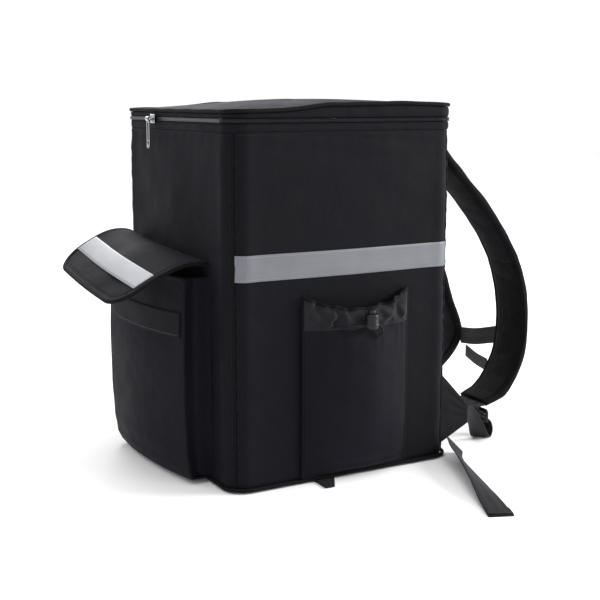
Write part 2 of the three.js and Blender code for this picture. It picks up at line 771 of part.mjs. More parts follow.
// Binding: a round edge that follows the flap from the hinge's one end round to the other.
function flapBinding() {
  const straight = FLAP_LENGTH - FLAP_CORNER;
  const turn = FLAP_HALF - FLAP_CORNER;
  const sideLength = straight - BINDING_RADIUS;
  const edge = [0, 1, 2, 3, 4, 5, 6].map((i) => [FLAP_HALF, BINDING_RADIUS + (sideLength * i) / 7]);
  const corner = [0, 1, 2, 3, 4, 5].map((i) => {
    const angle = ((i / 5) * Math.PI) / 2;
    return [turn + FLAP_CORNER * Math.cos(angle), straight + FLAP_CORNER * Math.sin(angle)];
  });
  const half = [...edge, ...corner, [turn * 0.6, FLAP_LENGTH], [turn * 0.2, FLAP_LENGTH]];
  const all = [...half, ...half.map(([across, along]) => [-across, along]).reverse()];
  const points = all.map(([across, along]) => flapPoint(across, along));
  const path = new THREE.CatmullRomCurve3(points, false, 'centripetal');
  const side = (t) => flapPoint(0, FLAP_LENGTH / 2).sub(path.getPoint(t));
  return tubeAlong(path, side, BINDING_RADIUS, PIPING_SIDES, 44);
}

// A round tube along a path, with its first side turned towards side(t).
function tubeAlong(path, side, radius, sides, steps) {
  const rings = [];
  for (let i = 0; i <= steps; i++) {
    const t = i / steps;
    const centre = path.getPoint(t);
    const along = path.getTangent(t);
    const across = side(t);
    across.addScaledVector(along, -across.dot(along)).normalize();
    const up = new THREE.Vector3().crossVectors(along, across);
    rings.push(Array.from({ length: sides }, (_, k) => {
      const angle = (k * 2 * Math.PI) / sides;
      const outwards = across.clone().multiplyScalar(Math.cos(angle)).addScaledVector(up, Math.sin(angle));
      return centre.clone().addScaledVector(outwards, radius);
    }));
  }
  return loft(rings);
}

function flapReflector() {
  const inset = 2 * BINDING_RADIUS;
  const lift = FLAP_THICK / 2 + SEAT_GAP + STRIP_THICK / 2;
  const at = (u, v) => {
    const across = (1 - 2 * u) * (FLAP_HALF - inset);
    return flapPoint(across, FLAP_LENGTH * FLAP_STRIP_START + v * FLAP_STRIP_WIDTH, lift);
  };
  return sheet(at, STRIP_THICK, 10, 3);
}

// Sides

function sideReflector() {
  const seam = SIDE_RUN + CORNER_RADIUS * Math.SQRT1_2;
  const at = (u, v) => {
    const y = (2 * u - 1) * seam;
    const z = SIDE_STRIP_LOW + v * STRIP_WIDTH;
    const lift = SEAT_GAP + STRIP_THICK / 2;
    const over = Math.max(0, Math.abs(y) - SIDE_RUN) / CORNER_RADIUS;
    return new THREE.Vector3(
      sideX(y, z) + lift * Math.sqrt(1 - over * over),
      y + lift * over * Math.sign(y),
      z,
    );
  };
  return sheet(at, STRIP_THICK, 18, 1, towardsEnds);
}

// Middle surface of a bottle pocket: u runs from its front seam to its back seam, v up from its bottom.
function bottlePoint(u, v) {
  const s = 2 * u - 1;
  const y = BOTTLE_CENTRE + (s * BOTTLE_WIDTH) / 2;
  const arch = Math.pow(Math.max(0, 1 - s * s), ARCH_POWER);
  const top = BOTTLE_TOP - MOUTH_SCOOP * arch;
  const z = BOTTLE_BOTTOM + v * (top - BOTTLE_BOTTOM);
  const gathered = clamp01((v - MOUTH_GATHER_START) / (1 - MOUTH_GATHER_START));
  const wave = MOUTH_WAVE_DEPTH * gathered * arch * Math.cos(2 * Math.PI * MOUTH_WAVES * u);
  const bulge = BOTTLE_BULGE * arch * fromTable(BOTTLE_BULGES, 'up', 'bulge', v);
  return new THREE.Vector3(sideX(y, z) + SEAT_GAP + BOTTLE_WALL / 2 + bulge + wave, y, z);
}

// X of a bottle pocket's outer face at a place on the side.
function bottleFaceX(y, z) {
  const u = clamp01((y - BOTTLE_CENTRE) / BOTTLE_WIDTH + 0.5);
  const top = bottlePoint(u, 1).z;
  return bottlePoint(u, clamp01((z - BOTTLE_BOTTOM) / (top - BOTTLE_BOTTOM))).x + BOTTLE_WALL / 2;
}

function bottlePocket() {
  return sheet(bottlePoint, BOTTLE_WALL, 18, 8, towardsEnds);
}

const LOCK_X = bottleFaceX(LOCK_Y, LOCK_LOW + LOCK_HEIGHT / 2) + LOCK_STAND_OFF + LOCK_RADIUS;
const CORD_Z = LOCK_LOW + CORD_HEIGHT_IN_LOCK;

// Barrel of a cord lock: a turned cup with a cross hole that the drawcord passes through.
function cordLockBody() {
  const boreLow = LOCK_HEIGHT + BUTTON_PROUD - BUTTON_LENGTH - BUTTON_TRAVEL - SEAT_GAP;
  const shell = [
    { radius: 0.0, up: 0.0 },
    { radius: 0.62, up: 0.0 },
    { radius: 0.92, up: 0.1 },
    { radius: 1.0, up: 0.26 },
    { radius: 1.0, up: 0.79 },
    { radius: 0.86, up: 1.0 },
  ];
  const profile = shell.map(({ radius, up }) => [radius * LOCK_RADIUS, up * LOCK_HEIGHT]);
  profile.push([LOCK_BORE, LOCK_HEIGHT], [LOCK_BORE, boreLow], [0, boreLow]);
  const geometry = new THREE.LatheGeometry(profile.map((pair) => new THREE.Vector2(...pair)), 16);
  geometry.rotateX(Math.PI / 2).translate(LOCK_X, LOCK_Y, LOCK_LOW);
  const hole = toSolid(rod(CORD_HOLE, 3 * LOCK_RADIUS, 'y', 10, [LOCK_X, LOCK_Y, CORD_Z]));
  return toGeometry(toSolid(geometry).subtract(hole));
}

function cordLockButton() {
  const shell = [
    { radius: 0.0, up: 0.0 },
    { radius: 1.0, up: 0.0 },
    { radius: 1.0, up: 0.86 },
    { radius: 0.75, up: 1.0 },
    { radius: 0.0, up: 1.0 },
  ];
  const profile = shell.map(({ radius, up }) => [radius * BUTTON_RADIUS, up * BUTTON_LENGTH]);
  const geometry = new THREE.LatheGeometry(profile.map((pair) => new THREE.Vector2(...pair)), 14);
  const low = LOCK_LOW + LOCK_HEIGHT + BUTTON_PROUD - BUTTON_LENGTH;
  geometry.rotateX(Math.PI / 2).translate(LOCK_X, LOCK_Y, low);
  return toGeometry(toSolid(geometry));
}

// Drawcord: out of the pocket's hem in front of the lock, through the lock and back into the hem behind it.
function drawcord() {
  const path = curveThrough(CORD_ROUTE.map(({ along, proud, drop }) => {
    const y = LOCK_Y + along * LOCK_HEIGHT;
    const z = CORD_Z - drop * LOCK_HEIGHT;
    const lying = bottleFaceX(y, z) + BUTT_GAP + CORD_RADIUS;
    return [lying + proud * (LOCK_X - lying), y, z];
  }));
  return tubeAlong(path, () => UP.clone(), CORD_RADIUS, 8, 16);
}

function baseTab() {
  const at = (u, v) => new THREE.Vector3(
    HALF_WIDTH + TAB_START + u * TAB_LENGTH,
    -TAB_FORWARD + (v - 0.5) * TAB_WIDTH * (1 - TAB_TAPER * u) - TAB_SWEEP * u,
    TAB_THICK / 2 + TAB_REST,
  );
  return sheet(at, TAB_THICK, 4, 2);
}

// Harness

function strapPath(rows, sign) {
  const lying = HALF_DEPTH + SEAT_GAP + STRAP_THICK / 2;
  return curveThrough(rows.map(({ out, down }) => [
    sign * STRAP_CENTRE,
    lying + out * STRAP_REACH,
    STRAP_TOP - down * STRAP_DROP,
  ]));
}
const RIGHT_PATH = strapPath(RIGHT_STRAP, 1);
const LEFT_PATH = strapPath(LEFT_STRAP, -1);

function shoulderStrap(path) {
  const tapered = (t) => clamp01((t - 1 + STRAP_TAPER_LENGTH) / STRAP_TAPER_LENGTH);
  const width = (t) => STRAP_WIDTH * (1 - STRAP_TAPER * tapered(t));
  return strap(path, () => ACROSS, width, STRAP_THICK, STRAP_STEPS, true);
}

// Where a strap's inner edge is at a height on its lower half.
function strapEdge(path, sign, height) {
  let t = 0.5;
  while (t < 1 && path.getPoint(t).z > height) t += 0.002;
  const point = path.getPoint(t);
  return [sign * (STRAP_CENTRE - STRAP_WIDTH / 2 - BUTT_GAP - WEBBING_THICK / 3), point.y, point.z];
}

const CHEST_RIGHT = strapEdge(RIGHT_PATH, 1, CHEST_RIGHT_HEIGHT);
const CHEST_LEFT = strapEdge(LEFT_PATH, -1, CHEST_LEFT_HEIGHT);

// A point between two others, lowered by sag and drawn in towards the box by bow.
function between(from, to, share, sag, bow) {
  const [x, y, z] = from.map((value, i) => value + (to[i] - value) * share);
  return [x, y - bow, z - sag];
}

function chestStrap() {
  const middle = between(CHEST_RIGHT, CHEST_LEFT, 0.5, CHEST_SAG, CHEST_BOW);
  const path = curveThrough([CHEST_RIGHT, middle, CHEST_LEFT]);
  return strap(path, () => UP, () => WEBBING_WIDTH, WEBBING_THICK, 10, false, false);
}

// Loose end of the chest webbing, from under its left half to the right strap's edge.
function chestTail() {
  const end = strapEdge(RIGHT_PATH, 1, CHEST_TAIL_HEIGHT);
  const drop = WEBBING_WIDTH / 2 + CHEST_SAG + CHEST_TAIL_GAP;
  const start = between(CHEST_RIGHT, CHEST_LEFT, (1 + CHEST_TAIL_START) / 2, drop, CHEST_BOW);
  const path = curveThrough([start, between(start, end, 0.5, CHEST_SAG, 0), end]);
  return strap(path, () => UP, () => CHEST_TAIL_WIDTH, WEBBING_THICK, 8, false, false);
}

// Lower harness on the right side; the left one is its mirror image.
const PAD_END = RIGHT_PATH.getPoint(1);
const PAD_END_WAY = RIGHT_PATH.getTangent(1);
const LADDER_CENTRE = [PAD_END.x + LADDER_SIDESTEP, PAD_END.y - LADDER_STEP_IN, PAD_END.z - LADDER_DROP];
const LADDER_SLOT_HEIGHT = (LADDER_HEIGHT - LADDER_BAR) / 4;

function padEndTab() {
  const slotHeight = LADDER_CENTRE[2] + LADDER_SLOT_HEIGHT;
  const start = PAD_END.clone().addScaledVector(PAD_END_WAY, BUTT_GAP + PAD_TAB_LEAD);
  const route = PAD_TAB_ROUTE.map(({ across, fold, rise }) => [
    PAD_END.x + across * LADDER_SIDESTEP,
    PAD_END.y - fold * PAD_TAB_FOLD,
    slotHeight + rise * (PAD_END.z - slotHeight),
  ]);
  const width = (t) => PAD_TAB_WIDTH + (WEBBING_WIDTH - PAD_TAB_WIDTH) * clamp01(PAD_TAB_TAPER * t);
  const path = curveThrough([start.toArray(), ...route]);
  return strap(path, () => ACROSS, width, WEBBING_THICK, 12, false, false);
}

// Ladder lock: a moulded frame with two slots, standing under the end of the shoulder strap.
function ladderLock() {
  const w = LADDER_WIDTH / 2;
  const h = LADDER_HEIGHT / 2;
  const shape = new THREE.Shape([[-w, -h], [w, -h], [w, h], [-w, h]].map((p) => new THREE.Vector2(...p)));
  const slotHalf = WEBBING_WIDTH / 2 + 1;
  for (const side of [-1, 1]) {
    const low = side < 0 ? -h + LADDER_BAR : LADDER_BAR / 2;
    const high = side < 0 ? -LADDER_BAR / 2 : h - LADDER_BAR;
    const slot = [[-slotHalf, low], [slotHalf, low], [slotHalf, high], [-slotHalf, high]];
    shape.holes.push(new THREE.Path(slot.map((p) => new THREE.Vector2(...p))));
  }
  const geometry = new THREE.ExtrudeGeometry(shape, { depth: LADDER_THICK, bevelEnabled: false });
  geometry.rotateX(Math.PI / 2).translate(0, LADDER_THICK / 2, 0).translate(...LADDER_CENTRE);
  return toGeometry(toSolid(geometry));
}

const WING_START = [
  FRONT_RUN + (CORNER_RADIUS + WING_STAND_OFF) * Math.SQRT1_2,
  SIDE_RUN + (CORNER_RADIUS + WING_STAND_OFF) * Math.SQRT1_2,
];
const WING_APEX = [WING_START[0] - WING_LEAN, WING_START[1] + WING_REACH];

// Wing: a triangle of padded cloth from the back seam to the end of the lower webbing.
function anchorWing() {
  const half = WEBBING_WIDTH / 2;
  const at = (u, v) => {
    const low = WING_LOW + (WING_APEX_HEIGHT - half - WING_LOW) * u;
    const high = WING_TOP + (WING_APEX_HEIGHT + half - WING_TOP) * u;
    const x = WING_START[0] + (WING_APEX[0] - WING_START[0]) * u;
    return new THREE.Vector3(x, WING_START[1] + WING_REACH * u, low + (high - low) * v);
  };
  return sheet(at, WING_THICK, 6, 6);
}

// Slack webbing from the ladder lock down to the ground and up to the wing's apex.
function lowerWebbing() {
  const start = new THREE.Vector2(LADDER_CENTRE[0], LADDER_CENTRE[1]);
  const way = new THREE.Vector2(...WING_APEX).sub(start);
  const floor = WEBBING_THICK / 2 + LOOP_CLEARANCE;
  const path = curveThrough(LOOP_ROUTE.map(({ over, out, rise }) => [
    start.x + over * way.x - out * way.y,
    start.y + over * way.y + out * way.x,
    floor + rise * (WING_APEX_HEIGHT - floor),
  ]));
  const level = new THREE.Vector3(-way.y, way.x, 0).normalize();
  const side = (t) => {
    const turned = ACROSS.clone().lerp(level, clamp01((t - 0.15) / 0.25));
    return turned.lerp(UP, clamp01((t - 0.42) / 0.58));
  };
  return strap(path, side, () => LOOP_WIDTH, WEBBING_THICK, 26, false, false);
}

// Loose end: from under the wing forward beside the bag along the ground, turning flat.
function tailWebbing() {
  const startX = (WING_START[0] + WING_APEX[0]) / 2 - OVERRUN;
  const startY = (WING_START[1] + WING_APEX[1]) / 2;
  const leanAt = (row) => THREE.MathUtils.degToRad(row.lean);
  const path = curveThrough(TAIL_ROUTE.map((row) => [
    startX + row.out * TAIL_OUT,
    startY - row.forward * TAIL_FORWARD,
    (TAIL_WIDTH / 2) * Math.sin(leanAt(row)) + WEBBING_THICK / 2 + TAIL_CLEARANCE,
  ]));
  const away = new THREE.Vector3(TAIL_FORWARD, TAIL_OUT, 0).normalize();
  const side = (t) => {
    const place = t * (TAIL_ROUTE.length - 1);
    const i = Math.min(TAIL_ROUTE.length - 2, Math.floor(place));
    const lean = THREE.MathUtils.lerp(leanAt(TAIL_ROUTE[i]), leanAt(TAIL_ROUTE[i + 1]), place - i);
    return away.clone().multiplyScalar(Math.cos(lean)).addScaledVector(UP, -Math.sin(lean));
  };
  return strap(path, side, () => TAIL_WIDTH, WEBBING_THICK, 22);
}

// Assembly

const CLOTH = { color: 0x16161a, roughness: 0.82, metalness: 0 };
const EDGING = { color: 0x0f0f12, roughness: 0.7, metalness: 0 };
const WEBBING = { color: 0x2b2b30, roughness: 0.75, metalness: 0 };
const REFLECTIVE = { color: 0x9a9ca3, roughness: 0.4, metalness: 0 };
const METAL = { color: 0xc8c8cc, roughness: 0.25, metalness: 1 };
const MOULDED = { color: 0x1d1d20, roughness: 0.5, metalness: 0 };

const cooler = new THREE.Group();

function addPiece(name, geometry, look) {
  const mesh = new THREE.Mesh(geometry, new THREE.MeshStandardMaterial(look));
  mesh.name = name;
  cooler.add(mesh);
}

function addPair(name, geometry, look) {
  addPiece(`${name}_right`, geometry, look);
  addPiece(`${name}_left`, mirrored(geometry), look);
}

addPiece('body_shell', bodyShell(), CLOTH);
addPiece('base_piping', bandAround(circleProfile(-BASE_PIPING_PROUD, () => BASE_PIPING_HEIGHT)), EDGING);
addPiece('zip_tape', flatBand(
  BODY_HEIGHT + BUTT_GAP,
  () => CHAIN_LOW - BUTT_GAP,
  TAPE_INSET,
  TAPE_WALL,
), CLOTH);
addPiece('zip_chain', flatBand(CHAIN_LOW, () => CHAIN_LOW + CHAIN_HEIGHT, CHAIN_INSET, CHAIN_WALL), METAL);
addPiece('lid_band', flatBand(
  LID_BAND_LOW,
  (point) => lidEdge(point) - PIPING_RADIUS - BUTT_GAP,
  TAPE_INSET,
  TAPE_WALL,
), CLOTH);
addPiece('lid_piping', bandAround(circleProfile(LID_PIPING_INSET, lidEdge)), EDGING);
addPiece('lid_panel', lidPanel(), CLOTH);
addPiece('zip_slider', zipSlider(), METAL);
addPiece('zip_pull', zipPull(), METAL);

addPiece('front_pocket', frontPocket(), CLOTH);
addPiece('pocket_closure_tape', closureTape(), EDGING);
addPiece('front_flap', flapPanel(), CLOTH);
addPiece('flap_binding', flapBinding(), EDGING);
addPiece('flap_reflector', flapReflector(), REFLECTIVE);

addPair('side_reflector', sideReflector(), REFLECTIVE);
addPair('bottle_pocket', bottlePocket(), CLOTH);
addPair('cord_lock_body', cordLockBody(), MOULDED);
addPair('cord_lock_button', cordLockButton(), MOULDED);
addPair('pocket_drawcord', drawcord(), EDGING);
addPiece('base_tab', baseTab(), WEBBING);

addPiece('shoulder_strap_right', shoulderStrap(RIGHT_PATH), CLOTH);
addPiece('shoulder_strap_left', shoulderStrap(LEFT_PATH), CLOTH);
addPiece('chest_strap', chestStrap(), WEBBING);
addPiece('chest_strap_tail', chestTail(), WEBBING);
addPair('pad_end_tab', padEndTab(), WEBBING);
addPair('ladder_lock', ladderLock(), MOULDED);
addPair('lower_webbing', lowerWebbing(), WEBBING);
addPair('anchor_wing', anchorWing(), CLOTH);
addPair('tail_webbing', tailWebbing(), WEBBING);

export default cooler;
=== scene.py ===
"""Insulated delivery backpack: a padded box with a zipped lid, a flap pocket, bottle pockets and a harness.

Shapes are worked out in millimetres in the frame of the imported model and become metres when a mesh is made.
"""
import math

import bmesh
import bpy
import numpy as np
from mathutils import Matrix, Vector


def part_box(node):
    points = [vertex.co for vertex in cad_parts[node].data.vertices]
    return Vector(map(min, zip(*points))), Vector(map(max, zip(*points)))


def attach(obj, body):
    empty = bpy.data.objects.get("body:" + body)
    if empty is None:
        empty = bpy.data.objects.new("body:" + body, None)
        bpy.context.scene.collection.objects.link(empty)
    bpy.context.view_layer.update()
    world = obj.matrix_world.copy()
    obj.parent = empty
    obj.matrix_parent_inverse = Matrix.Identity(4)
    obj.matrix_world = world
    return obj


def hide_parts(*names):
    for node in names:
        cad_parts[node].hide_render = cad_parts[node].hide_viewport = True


bl_info = {
    "name": "Delivery backpack",
    "version": (1, 0, 0),
    "blender": (4, 5, 0),
    "location": "3D View > Sidebar > Backpack",
    "description": "Builds the cloth, webbing and fittings of an insulated delivery backpack",
    "category": "Add Mesh",
}

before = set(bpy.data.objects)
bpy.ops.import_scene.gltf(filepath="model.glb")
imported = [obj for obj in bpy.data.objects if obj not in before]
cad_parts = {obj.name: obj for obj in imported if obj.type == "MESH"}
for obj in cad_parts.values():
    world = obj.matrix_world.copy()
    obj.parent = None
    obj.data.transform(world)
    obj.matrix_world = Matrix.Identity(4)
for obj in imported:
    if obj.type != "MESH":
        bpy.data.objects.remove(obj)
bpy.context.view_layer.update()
MM = 0.001

# Box
HALF_WIDTH, HALF_DEPTH, BODY_HEIGHT, CORNER_RADIUS = 162.0, 157.0, 423.0, 25.0
BODY_WALL, BODY_FLOOR, BASE_ROUNDING, BASE_PIPING_HEIGHT = 6.0, 8.0, 12.0, 4.2
SIDE_RUN, FRONT_RUN = HALF_DEPTH - CORNER_RADIUS, HALF_WIDTH - CORNER_RADIUS
CROWN, SEAT_GAP, TAPE_INSET = 4.0, 0.4, 1.5
QUARTER = CORNER_RADIUS * math.pi / 2

# Lid and zip
CHAIN_LOW, CHAIN_HEIGHT = 433.6, 4.4
CHAIN_MIDDLE = CHAIN_LOW + CHAIN_HEIGHT / 2
LID_BAND_LOW, LID_BAND_FRONT, LID_RISE, LID_DOME, LID_WALL = 438.3, 8.4, 9.0, 3.0, 7.0
PIPING_RADIUS, LID_PIPING_INSET = 2.4, 1.2
LID_EDGE = ((0.0, 0.18, 0.45, 0.75, 1.0), (0.0, 0.1, 0.85, 1.0, 0.75))
SLIDER_X, SLIDER_FACE, BRIDGE_Y = -56.0, -157.2, -165.6
SLIDER_PLATE, BRIDGE_HALF, BRIDGE_BEND = (12.6, 9.6), 5.6, 1.2
PULL_HALF, PULL_LOW, PULL_HIGH, PULL_BAR, PULL_END = 3.3, -33.0, -5.2, -27.5, -34.6
PULL_KNOB = ((0.0, -2.3), (1.4, -2.0), (2.4, -1.0), (2.7, 0.0), (2.4, 1.0), (1.4, 2.0), (0.0, 2.3))

# Front pocket and flap
POCKET_RIGHT, POCKET_LEFT, POCKET_LOW, POCKET_TOP = 104.0, 108.0, 7.0, 252.0
GUSSET_RIGHT, GUSSET_LEFT, POCKET_CROWN = 33.0, 47.0, 13.0
POCKET_DEPTHS = ((0.0, 0.06, 0.16, 0.34, 0.6, 0.85, 1.0), (0.8, 0.9, 0.97, 1.02, 1.03, 0.99, 0.93))
CLOSURE_LOW, CLOSURE_WIDTH = 183.0, 29.0
FLAP_HINGE, FLAP_REACH, FLAP_THICK, FLAP_CORNER = 272.0, 112.0, 3.4, 30.0
FLAP_HALF, FLAP_MIDDLE, FLAP_STAND_OFF = 108.0, -2.0, 1.4
FLAP_OUT_RIGHT = (0.0, 0.26, 0.52, 0.78, 1.04)
FLAP_UP_RIGHT = (-0.02, -0.02, -0.11, -0.24, -0.39)
FLAP_OUT_LEFT = (0.0, 0.16, 0.38, 0.68, 1.0)
FLAP_UP_LEFT = (0.06, 0.15, 0.15, 0.02, -0.2)
FLAP_STRIP_START, FLAP_STRIP_WIDTH = 0.53, 28.0
STRIP_LOW, STRIP_WIDTH = 253.5, 30.0

# Bottle pockets
BOTTLE_WIDTH, BOTTLE_CENTRE, BOTTLE_LOW, BOTTLE_TOP = 148.0, 9.0, 7.5, 231.0
BOTTLE_BULGE, MOUTH_SCOOP, MOUTH_WAVES, HEM_SEAM = 26.0, 18.0, 5, 195.0
BOTTLE_BULGES = (
    (0.0, 0.04, 0.12, 0.3, 0.55, 0.78, 0.9, 1.0),
    (0.0, 0.42, 0.72, 0.94, 1.0, 0.93, 0.76, 0.66),
)
LOCK_Y, LOCK_LOW, LOCK_HEIGHT, LOCK_RADIUS = 12.0, 190.0, 19.0, 8.5
LOCK_PROFILE = (
    (0, 0), (0.5, 0), (0.66, 0.012), (0.82, 0.045), (0.93, 0.11), (0.985, 0.19), (1, 0.27), (1, 0.4),
    (0.95, 0.43), (0.95, 0.47), (1, 0.5), (1, 0.58), (0.95, 0.61), (0.95, 0.65), (1, 0.68), (1, 0.8),
    (0.97, 0.88), (0.93, 0.96), (0.86, 1.0), (0.66, 1.0),
    (0.62, 0.98), (0.612, 0.9), (0.612, 0.51), (0, 0.51),
)
EYELET_RADIUS, EYELET_WIRE = 2.5, 0.75
BUTTON_PROFILE = (
    (0, 0), (1, 0), (1, 0.8), (0.97, 0.88), (0.88, 0.95), (0.74, 0.99), (0.55, 0.99), (0.3, 0.965),
    (0, 0.955),
)
BUTTON_RADIUS, BUTTON_LENGTH, BUTTON_PROUD, CORD_RADIUS, CORD_HEIGHT = 4.7, 11.0, 5.0, 1.5, 5.0
CORD_ROUTE = (
    (-1.26, 0.0, 0.0), (-0.95, 0.64, 0.0), (-0.5, 0.95, 0.0), (0.0, 1.0, 0.0),
    (0.5, 0.99, 0.0), (0.82, 0.85, 0.26), (0.89, 0.72, 0.63), (0.68, 0.12, 0.84),
)

# Harness
STRAP_WIDTH, STRAP_THICK, STRAP_CENTRE = 65.0, 12.0, 87.5
STRAP_TOP, STRAP_DROP, STRAP_REACH, STRAP_STITCH_LINE = 418.0, 372.0, 154.0, 0.42
RIGHT_STRAP = (
    (-0.008, 0.0), (-0.005, 0.03), (0.06, 0.066), (0.28, 0.16), (0.5, 0.253), (0.68, 0.344), (0.855, 0.457),
    (0.958, 0.567), (1.0, 0.699), (0.985, 0.806), (0.91, 0.892), (0.765, 0.968), (0.585, 1.0),
)
LEFT_STRAP = (
    (-0.008, 0.0), (-0.005, 0.03), (0.06, 0.066), (0.28, 0.16), (0.48, 0.253), (0.655, 0.344), (0.8, 0.457),
    (0.91, 0.567), (1.01, 0.685), (1.11, 0.78), (1.14, 0.835), (1.08, 0.892), (0.94, 0.95), (0.77, 0.99),
    (0.585, 1.0),
)
WEBBING, WEBBING_THICK, SLACK_WIDTH, TAIL_WIDTH = 25.0, 1.8, 24.0, 30.0
CHEST_RIGHT_HEIGHT, CHEST_LEFT_HEIGHT, CHEST_END_HEIGHT = 127.0, 104.0, 84.0
CHEST_END_START, CHEST_END_WIDTH = 0.775, 18.0
LADDER = (36.0, 20.0, 4.0)
WING_LOW, WING_TOP, WING_APEX_HEIGHT, WING_REACH, WING_THICK = 22.0, 104.0, 50.0, 42.0, 4.0
PAD_TAB_WIDTH, PAD_TAB_OUT, PAD_TAB_FOLD, PAD_TAB_DROP = 54.6, 19.0, 13.0, 11.0
PAD_TAB_ROUTE = (
    (0.26, 1.0, 0.73), (0.79, 1.15, 0.45), (0.95, 1.0, 0.045), (1.0, 0.54, 0.0), (1.0, 0.08, 0.0),
)
LOOP_ROUTE = (
    (0.022, -0.017, 0.526), (-0.044, 0.034, 0.526), (-0.1, 0.08, 0.41), (-0.09, 0.1, 0.17),
    (0.01, 0.081, 0.0), (0.18, 0.069, 0.05), (0.34, 0.063, 0.24), (0.5, 0.06, 0.46), (0.66, 0.046, 0.69),
    (0.83, 0.024, 0.9), (0.988, 0.007, 1.0),
)
TAIL_OUT, TAIL_FORWARD = 214.0, 95.0
TAIL_ROUTE = (
    (0.0, -0.01, 44), (0.093, 0.137, 52), (0.178, 0.242, 50), (0.29, 0.347, 48),
    (0.467, 0.505, 40), (0.636, 0.663, 30), (0.822, 0.832, 10), (1.0, 1.0, 0),
)
TAB_Y, TAB_WIDTH, TAB_REACH = -33.0, 27.0, 27.0

# Stage, in metres and watts
CAMERA_PLACE, CAMERA_TILT, CAMERA_TURN = (1.29056, -0.69923, 0.45739), 79.91, 60.73
CAMERA_LENS, CAMERA_SENSOR = 66.97, 36.0
LIGHTS = (
    ("key", (1.4, -2.2, 2.3), 1.4, 9), ("top", (0.2, 0.3, 2.6), 1.8, 18),
    ("rim_right", (1.2, 2.2, 1.1), 0.9, 60), ("rim_left", (-2.2, 0.4, 1.5), 1.0, 30),
)
LIGHT_AIM, SKY_STRENGTH, PAPER_REACH = (0, 0, 0.2), 1.05, 14.0

X_AXIS, Y_AXIS, Z_AXIS = np.eye(3)


# Curves and tables

def eased(table, at):
    """Reads a table of places and values, with the smooth step 3t^2 - 2t^3 between its rows."""
    places, values = (np.asarray(row, float) for row in table)
    at = np.asarray(at, float)
    row = np.clip(np.searchsorted(places, at, side="right") - 1, 0, len(places) - 2)
    share = np.clip((at - places[row]) / (places[row + 1] - places[row]), 0, 1)
    return values[row] + (values[row + 1] - values[row]) * share * share * (3 - 2 * share)


def smooth_path(points, count):
    """A centripetal Catmull-Rom curve: cubics whose end slopes weigh each gap between points by its root."""
    rows = np.asarray(points, float)
    rows = np.vstack([2 * rows[0] - rows[1], rows, 2 * rows[-1] - rows[-2]])
    place = np.linspace(0, len(rows) - 3, count)
    i = np.minimum(place.astype(int), len(rows) - 4)
    w = (place - i)[:, None]
    a, b, c, d = (rows[i + k] for k in range(4))
    gaps = (np.linalg.norm(step, axis=1, keepdims=True) for step in (b - a, c - b, d - c))
    r, s, t = (np.sqrt(gap) + 1e-9 for gap in gaps)
    start = ((b - a) / r - (c - a) / (r + s) + (c - b) / s) * s
    end = ((c - b) / s - (d - b) / (s + t) + (d - c) / t) * s
    return b + start * w + (3 * (c - b) - 2 * start - end) * w**2 + (2 * (b - c) + start + end) * w**3


def lengths(path):
    """Distance along a path at each of its points."""
    return np.concatenate([[0.0], np.cumsum(np.linalg.norm(np.diff(path, axis=0), axis=1))])


def even_path(path, places):
    """Points of a path at the given shares of its length."""
    run = lengths(path)
    at = np.clip(places, 0, 1) * run[-1]
    return np.stack([np.interp(at, run, path[:, k]) for k in range(path.shape[1])], axis=-1)


def unit(vectors):
    """Vectors of length one."""
    return vectors / (np.linalg.norm(vectors, axis=-1, keepdims=True) + 1e-12)


def grid(columns, rows):
    """Two arrays u and v that run from 0 to 1 over a grid."""
    return np.meshgrid(np.linspace(0, 1, columns), np.linspace(0, 1, rows), indexing="ij")


def crowded(u):
    """Places from 0 to 1 that stand closer together near both ends: half a turn of a cosine."""
    return 0.5 - 0.5 * np.cos(np.pi * u)


def crumple(across, along, scale, seed):
    """Soft dents from -1 to 1: six plane waves with seeded directions and phases, averaged."""
    picks = np.random.default_rng(seed)
    total = np.zeros(np.broadcast(across, along).shape)
    spreads = ((0, math.pi), (0, 6.28), (0.6, 1.7))
    for angle, phase, stretch in zip(*(picks.uniform(low, high, 6) for low, high in spreads)):
        reach = (across * math.cos(angle) + along * math.sin(angle)) * stretch / scale
        total += np.sin(2 * math.pi * reach + phase + 1.3 * np.sin(reach * 2.1 + phase))
    return total / 3.4


# Shells: points, faces and the place of each face corner in the cloth, all as whole arrays

def shell(points, wrap_u=False, wrap_v=False):
    """Quads over a grid of points, with a wrapped side joined to its start. The cloth's own measure is the
    mean distance along each side of the grid."""
    rows, cols = points.shape[:2]
    ring_u = np.concatenate([points, points[:1]]) if wrap_u else points
    ring_v = np.concatenate([points, points[:, :1]], axis=1) if wrap_v else points
    run_u = np.concatenate([[0], np.cumsum(np.linalg.norm(np.diff(ring_u, axis=0), axis=2).mean(1))])
    run_v = np.concatenate([[0], np.cumsum(np.linalg.norm(np.diff(ring_v, axis=1), axis=2).mean(0))])
    i, j = np.meshgrid(np.arange(len(run_u) - 1), np.arange(len(run_v) - 1), indexing="ij")
    corners = ((i, j), (i + 1, j), (i + 1, j + 1), (i, j + 1))
    faces = np.stack([(a % rows) * cols + b % cols for a, b in corners], axis=-1).reshape(-1, 4)
    cloth = np.stack([np.stack([run_u[a], run_v[b]], axis=-1) for a, b in corners], axis=-2).reshape(-1, 4, 2)
    return points.reshape(-1, 3), faces, cloth


def facing(points):
    """Normals of a grid of points: the cross product of its two slopes."""
    return unit(np.cross(np.gradient(points, axis=0), np.gradient(points, axis=1)))


